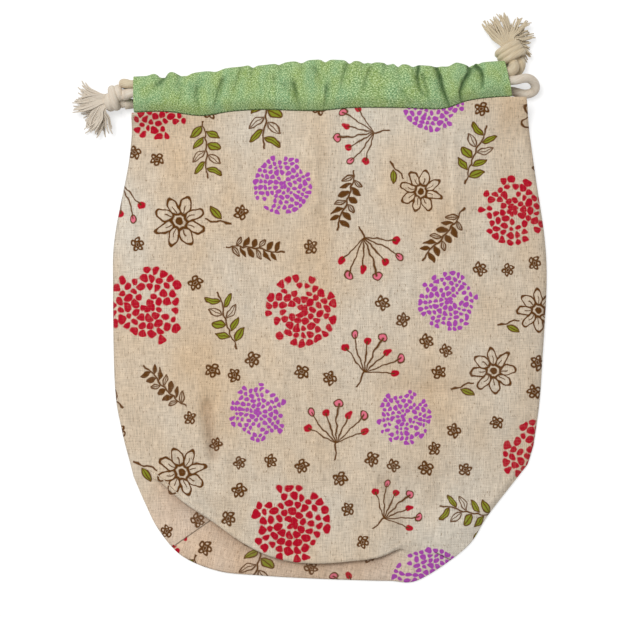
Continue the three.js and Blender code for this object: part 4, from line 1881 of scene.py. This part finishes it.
@dataclass
class DrawCord:
    """One drawcord with the knot that joins its two ends and the frayed end beyond the knot."""

    route: CordRoute
    cotton: Material
    seed: int
    diameter: float = 0.0056
    sides: int = 20
    steps: int = 4
    casing_span: Pair = (-0.1418, 0.124)
    swell: float = 0.18
    swell_run: float = 0.005
    knot_swell: float = 0.26
    knot_run: Pair = (0.004, 0.016)
    knot_radius: float = 0.0088
    knot_length: float = 0.0126
    knot_standoff: float = 0.0005
    knot_face: float = 0.42
    floor_gap: float = 0.00035
    wraps: Wraps = Wraps()
    fray: Fray = Fray()

    def fullness(self, place: Vector, ends: Sequence[Vector]) -> float:
        """Radius of the soft cord: pressed in the casing, fuller outside it and fullest at the knot.

        Args:
            place: a point of the cord.
            ends: both ends of the cord.

        Returns:
            The radius there.
        """
        low, high = self.casing_span
        outside = smooth(max(low - place.x, place.x - high), 0.0, self.swell_run)
        near = 1 - smooth(min((place - end).length for end in ends), *self.knot_run)
        return self.diameter / 2 * (1 + self.swell * outside + self.knot_swell * near)

    def build(self) -> None:
        points = self.route.points()
        ends = points[0], points[-1]
        place = self.knot_place(ends)
        knot = self.knot(place, ends)
        fringe = self.fringe(place)
        mesh = bmesh.new()
        path = smoothed(points, self.steps)
        sweep(mesh, path, [self.fullness(point, ends) for point in path], self.sides)
        made = self.cotton_piece("cord", "drawcord", mesh)

    def cotton_piece(self, name: str, node: str, mesh: BMesh) -> Object:
        """A piece of this cord.

        Args:
            name, node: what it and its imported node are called, without the side.
            mesh: its yarns.

        Returns:
            The piece.
        """
        side = self.route.side
        return piece(f"{name}_{side}", closed(mesh), (self.cotton,), self.route.body,
                     f"{node}_{side}")

    def knot_place(self, ends: tuple[Vector, Vector]) -> KnotPlace:
        """Where the knot sits, just past both ends of the cord and on the surface below.

        Args:
            ends: both ends of the cord.

        Returns:
            The place.
        """
        heading = math.radians(self.route.heading)
        onward = Vector((math.cos(heading), math.sin(heading), 0))
        up = Vector((0, 0, 1))
        side = up.cross(onward)
        middle = (ends[0] + ends[1]) / 2 + onward * (self.knot_length / 2 + self.knot_standoff)
        middle.z = self.knot_radius + self.floor_gap
        return KnotPlace(middle + side * self.route.knot_shift, onward, side, up)

    def knot(self, place: KnotPlace, ends: tuple[Vector, Vector]) -> Object:
        """Builds the knot: wraps of cord round both strands, their ends tucked in.

        Args:
            place: where it sits.
            ends: where both strands come in.

        Returns:
            The knot.
        """
        route, wraps = self.route, self.wraps
        draw = random.Random(self.seed)
        mesh = bmesh.new()
        big = self.knot_radius - route.wrap_radius
        path, radii = [], []
        phase = TURN / 4 - TURN * route.wraps / 2 + draw.uniform(-wraps.jitter, wraps.jitter)
        for step in range(wraps.steps + 1):
            share = step / wraps.steps
            angle = phase + TURN * route.wraps * share
            tucked = smooth(share, 0.0, wraps.tucked) * (1 - smooth(share, 1 - wraps.tucked, 1.0))
            radius = mix(big * wraps.tuck_radius, big, tucked)
            along = (share - 0.5) * route.wraps * route.wrap_pitch * mix(wraps.tuck_pitch, 1.0, tucked)
            along += route.wrap_slant * radius * math.cos(angle - wraps.slant_turn)
            around = place.side * math.cos(angle) * route.knot_spread + place.up * math.sin(angle)
            path.append(place.middle + place.onward * along + around * radius)
            radii.append(route.wrap_radius * mix(wraps.tuck_width, 1.0, tucked))
        sweep(mesh, path, radii, wraps.sides)
        for end in ends:
            away = end - place.middle
            inner = place.middle + away * wraps.strand_inner
            far = place.middle + place.onward * self.knot_length * self.knot_face
            far += away.project(place.side) * wraps.strand_side
            run = smoothed([end, mix(end, inner, 0.5), inner, far], wraps.strand_steps)
            sweep(mesh, run, [self.diameter * wraps.strand_radius] * len(run), wraps.strand_sides)
        return self.cotton_piece("knot_wraps", "knot", mesh)

    def fringe(self, place: KnotPlace) -> Object:
        """Builds the frayed end: flat bundles of yarn that fan out from the knot and sink to the surface.

        Args:
            place: where the knot sits.

        Returns:
            The frayed end.
        """
        route, fray = self.route, self.fray
        draw = random.Random(self.seed + fray.seed_shift)
        mesh = bmesh.new()
        face = place.middle + place.onward * self.knot_length * self.knot_face
        for number in range(fray.bundles):
            layer = number % fray.layers / (fray.layers - 1)
            share = (number + draw.uniform(*fray.bundle_place)) / fray.bundles
            bearing = math.radians(mix(*route.fan, share))
            turn = math.remainder(bearing - math.radians(route.heading), TURN)
            aside = place.side * math.sin(turn) * self.knot_radius * fray.root_side
            bundle = Bundle(
                turn, reach=mix(*route.reach, share) * draw.uniform(*fray.bundle_reach),
                roll=draw.uniform(*fray.roll), rest=mix(*fray.rest, layer) + draw.uniform(*fray.rest_chance),
                root=aside + place.up * mix(*fray.root_up, layer), sway=draw.uniform(*fray.sway))
            for finger in range(fray.fingers):
                self.finger(mesh, place, face, bundle, (finger - (fray.fingers - 1) / 2) * fray.pitch, draw)
        return self.cotton_piece("fringe", "tassel", mesh)

    def finger(self, mesh: BMesh, place: KnotPlace, face: Vector, bundle: Bundle, aside: float,
               draw: random.Random) -> None:
        """Adds one flat yarn of a bundle.

        Args:
            mesh: the frayed end's bmesh.
            place: where the knot sits.
            face: middle of the knot's outer face.
            bundle: how the yarn's bundle lies.
            aside: the yarn's place across its bundle.
            draw: where chance comes from.
        """
        fray = self.fray
        length = bundle.reach * draw.uniform(*fray.finger_reach)
        sway = bundle.sway + draw.uniform(*fray.stray)
        curl = draw.uniform(*fray.curl)
        wave = draw.uniform(0, TURN)
        flat, tilt = math.cos(bundle.roll), math.sin(bundle.roll)
        path, ways, widths = [], [], []
        for step in range(fray.steps + 1):
            s = step / fray.steps
            ahead, across = place.facing(bundle.turn * smooth(s, *fray.turning) + sway * s * s)
            opened = mix(fray.root_spread, 1.0, smooth(s, 0, fray.spread_end))
            spread = aside * opened * (1 + fray.flare * s * s)
            here = face + bundle.root * (1 - s) + ahead * length * s
            here += across * (spread * flat + curl * math.sin(wave + fray.curl_turn * s) * s)
            here.z = mix(face.z + bundle.root.z, bundle.rest, smooth(s, *fray.sinking))
            here.z += fray.arch * math.sin(math.pi * s) + spread * tilt
            here.z = max(here.z, fray.half * FLAT_YARN + self.floor_gap)
            path.append(here)
            ways.append(across * flat + place.up * tilt)
            thinned = 1 - fray.tip_thinning * smooth(s, fray.tip_start, 1.0)
            widths.append(fray.half * mix(*fray.widths, s) * thinned)
        sweep(mesh, path, widths, fray.sides, draw.uniform(*fray.tints), ways)


@dataclass
class Casing:
    """One half of the gathered band round the mouth: a flattened tube that holds both drawcords."""

    shape: BagShape
    finishes: Finishes
    name: str
    centre_z: float
    fold_scale: float
    notch_scale: float
    lift: float
    frill: float
    rim_drop: float
    lanes: tuple[CordRoute, ...] = ()
    half_height: float = 0.0041
    cloth: float = 0.0007
    steps: int = 620
    around: int = 64
    squareness: float = 1.8
    edge_roundness: float = 0.86
    seam_gap: float = 0.0003
    drop_start: float = 0.55
    frill_pitch: float = 105.0
    frill_row: float = 3.0
    cord_room: float = 0.00335
    flat: Pair = (0.300, 0.078)
    ramp: float = 0.009
    stitch_pitch: float = 0.0026
    stitch_half: float = 0.00088
    stitch_radius: float = 0.00028
    stitch_angle: float = 176.0
    stitch_ahead: float = 0.4
    wrinkle_height: float = 0.0005
    wrinkle_pitch: Triple = (150.0, 60.0, 90.0)

    @cached_property
    def wrinkle(self) -> Ripple:
        """The band's own fine unevenness."""
        across, along, layers = self.wrinkle_pitch
        return Ripple(self.wrinkle_height, across, along, self.centre_z * layers)

    def folds(self, x: float, y: float) -> float:
        """Height that the gathers add at a place in plan."""
        return sum(fold.at(x, y) for fold in self.shape.gathers)

    def section(self, along: float, angle: float) -> Vector:
        """A point of the casing's outside.

        Args:
            along: share from the left end to the right.
            angle: round the section, from the rim over the top.

        Returns:
            The point.
        """
        u = mix(*self.shape.casing_ends, along)
        x0, y0 = self.shape.mouth.at(u)
        up_x, up_y, depth = way((x0, y0), self.shape.rim.at(u))
        even = 0.5 * math.cos(angle) + 0.5 - abs(math.remainder(angle, TURN)) / math.pi
        cos = math.copysign(abs(even) ** self.squareness, even)
        sin = math.copysign(math.sqrt(max(1 - cos * cos, 0.0)), math.sin(angle))
        reach = 0.5 + 0.5 * even
        drop = self.rim_drop + self.notch_scale * self.shape.rim_dip(x0)
        drop -= self.frill * noise.noise(Vector((x0 * self.frill_pitch, self.frill_row, 0.0)))
        cover = max((lane.lane(x0) + self.cord_room - y0 for lane in self.lanes), default=0.0)
        run = self.seam_gap + depth * reach - min(drop, depth - cover) * smooth(reach, self.drop_start, 1.0)
        x, y = x0 + up_x * run, y0 + up_y * run
        round_edge = abs(sin) ** self.edge_roundness
        if sin > 0:
            folds = self.folds(x, y) + self.wrinkle.at(x, y)
            crown = self.half_height + self.lift + folds * self.fold_scale
            ramp = math.sin(TURN / 4 * min(run / self.ramp, 1.0)) if cos < 0 else round_edge
            height = crown * min(ramp, 1.0)
        else:
            height = self.half_height * round_edge
        for lane in self.lanes:
            aside = abs(y - lane.lane(x))
            if aside < self.cord_room:
                height = max(height, math.sqrt(self.cord_room ** 2 - aside * aside))
        return Vector((x, y, self.centre_z + math.copysign(height, sin)))

    def painted_shade(self, place: Vector) -> float:
        """Depth in millimetres of the pleats at a place, for the painted shade in them."""
        return max(-self.folds(place.x, place.y) * self.fold_scale / MM, 0.0)

    def build(self) -> None:
        """Builds the band and the row of stitches along its seam."""
        mesh = flat_grid(self.steps, self.around)
        cloth, folds = Map.CLOTH.on(mesh), Map.FOLD.on(mesh)
        shares = {vert: (vert.co.x + HALF_GRID, vert.co.y + HALF_GRID) for vert in mesh.verts}
        ring = [self.section(0.5, TURN * step / self.around) for step in range(self.around + 1)]
        strides = ((after - before).length for before, after in zip(ring, ring[1:]))
        girth = list(accumulate(strides, initial=0.0))
        for vert, (along, round_share) in shares.items():
            vert.co = self.section(along, TURN * round_share)
        for face in mesh.faces:
            for loop in face.loops:
                along, round_share = shares[loop.vert]
                loop[cloth].uv = along * self.flat[0], girth[round(round_share * self.around)]
                # Depth of the pleats on the band's outside, for painted shade.
                loop[folds].uv = self.painted_shade(loop.vert.co) if round_share < 0.5 else 0.0, 0.0
        made = piece(
            f"{self.name}_band", closed(mesh), (self.finishes.green,), Body.BAG, self.name)
        thicken(made, self.cloth, -1.0)
        stitches = self.stitches()

    def stitches(self) -> Object:
        """Sews the row of stitches that joins the band to the panel below it, on the band's outer side.

        Returns:
            The stitches.
        """
        mesh = bmesh.new()
        left, right = (self.shape.mouth.at(end)[0] for end in self.shape.casing_ends)
        count = int((right - left) / self.stitch_pitch)
        angle = math.radians(self.stitch_angle if self.lift > 0 else -self.stitch_angle)
        size = Matrix.Diagonal((self.stitch_half, self.stitch_radius, self.stitch_radius, 1.0))
        for index in range(count):
            along = (index + 0.5) / count
            here = self.section(along, angle)
            ahead = self.section(min(along + self.stitch_ahead / count, 1.0), angle) - here
            turn = Matrix.Rotation(math.atan2(ahead.y, ahead.x), 4, "Z")
            bmesh.ops.create_icosphere(
                mesh, subdivisions=1, radius=1.0, matrix=Matrix.Translation(here) @ turn @ size)
        return piece(f"{self.name}_stitches", mesh, (self.finishes.thread,), Body.BAG)


@dataclass
class Studio:
    """Camera, pale floor and soft light."""

    centre: Pair = (-0.0154, 0.0093)
    height: float = 1.6
    lens: float = 128.9
    sensor: float = 36.0
    key_power: float = 59.0
    key_size: float = 1.3
    key_place: Triple = (-0.9, 1.0, 2.85)
    sky: float = 0.40
    sky_colour: Colour = (1.0, 1.0, 1.0, 1.0)
    floor_half: float = 2.2
    floor_segments: int = 4
    floor_lit: Colour = (0.88, 0.88, 0.87, 1.0)
    floor_shown: Colour = (0.5, 0.5, 0.5, 1.0)
    floor_glow: float = 0.62

    def camera(self) -> None:
        """Sets the camera straight above, the mouth at the top of the picture."""
        data = bpy.data.cameras.new("camera")
        data.lens = self.lens
        data.sensor_width = self.sensor
        made = placed("camera", data)
        made.location = (*self.centre, self.height)
        bpy.context.scene.camera = made

    def light(self) -> None:
        """Hangs one large soft lamp, lights the sky, and sets the plain view transform."""
        data = bpy.data.lights.new("key", "AREA")
        data.energy = self.key_power
        data.size = self.key_size
        made = placed("key", data)
        made.location = self.key_place
        made.rotation_euler = (-Vector(self.key_place)).to_track_quat("-Z", "Y").to_euler()
        world = bpy.data.worlds.new("studio")
        graph = Graph(world)
        strength = graph.node(
            "ShaderNodeMapRange", {"Value": self.seen(graph), "To Min": self.sky, "To Max": 1.0})
        background = graph.node(
            "ShaderNodeBackground", {"Color": self.sky_colour, "Strength": strength.outputs[0]})
        graph.node("ShaderNodeOutputWorld", {0: background.outputs[0]})
        bpy.context.scene.world = world
        bpy.context.scene.view_settings.view_transform = "Standard"

    @staticmethod
    def seen(graph: Graph) -> Wire:
        """Mask of the rays that the picture, a gloss or a glass shows directly.

        Args:
            graph: nodes of the world or the floor.

        Returns:
            The mask.
        """
        rays = graph.node("ShaderNodeLightPath").outputs
        camera, gloss, glass = (
            Wire(graph, rays[name]) for name in ("Is Camera Ray", "Is Glossy Ray", "Is Transmission Ray"))
        return camera | gloss | glass

    def floor(self) -> None:
        """Lays a pale floor that keeps the bag's shadow."""
        mesh = bmesh.new()
        bmesh.ops.create_grid(
            mesh, x_segments=self.floor_segments, y_segments=self.floor_segments, size=self.floor_half)
        data = bpy.data.meshes.new("floor")
        mesh.to_mesh(data)
        mesh.free()
        graph = Graph(bpy.data.materials.new("pale_floor"))
        lit = graph.node("ShaderNodeBsdfDiffuse", {"Color": self.floor_lit})
        shown = graph.node("ShaderNodeBsdfDiffuse", {"Color": self.floor_shown})
        glow = graph.node("ShaderNodeEmission", {"Strength": self.floor_glow})
        added = graph.node("ShaderNodeAddShader", {0: shown.outputs[0], 1: glow.outputs[0]})
        chosen = graph.node(
            "ShaderNodeMixShader", {0: self.seen(graph), 1: lit.outputs[0], 2: added.outputs[0]})
        graph.node("ShaderNodeOutputMaterial", {0: chosen.outputs[0]})
        data.materials.append(graph.owner)
        made = placed("floor", data)


def main() -> None:
    """Builds the bag piece by piece."""
    logging.basicConfig(level=logging.INFO, format="%(name)s: %(message)s")
    studio = Studio()
    studio.camera()
    finishes = Finishes()
    DrawCord(LEFT_ROUTE, finishes.pale_cotton, seed=5).build()
    # The right cord takes the copy of the cotton with painted shade.
    DrawCord(RIGHT_ROUTE, finishes.shaded_cotton, seed=9).build()
    shape = BagShape()
    repeat = PrintRepeat()
    repeat.lay_out()
    panels = Panels(shape, repeat, finishes)
    panels.front()
    panels.back()
    Casing(shape, finishes, "casing_front", shape.front_casing_z, fold_scale=1.35, notch_scale=1.0,
           lift=2.4 * MM, frill=0.0, rim_drop=0.5 * MM, lanes=(LEFT_ROUTE, RIGHT_ROUTE)).build()
    Casing(shape, finishes, "casing_back", shape.back_casing_z, fold_scale=0.0, notch_scale=0.3,
           lift=0.0, frill=1.6 * MM, rim_drop=0.2 * MM, half_height=0.0039).build()
    studio.light()
    studio.floor()


if __name__ == "__main__":
    main()
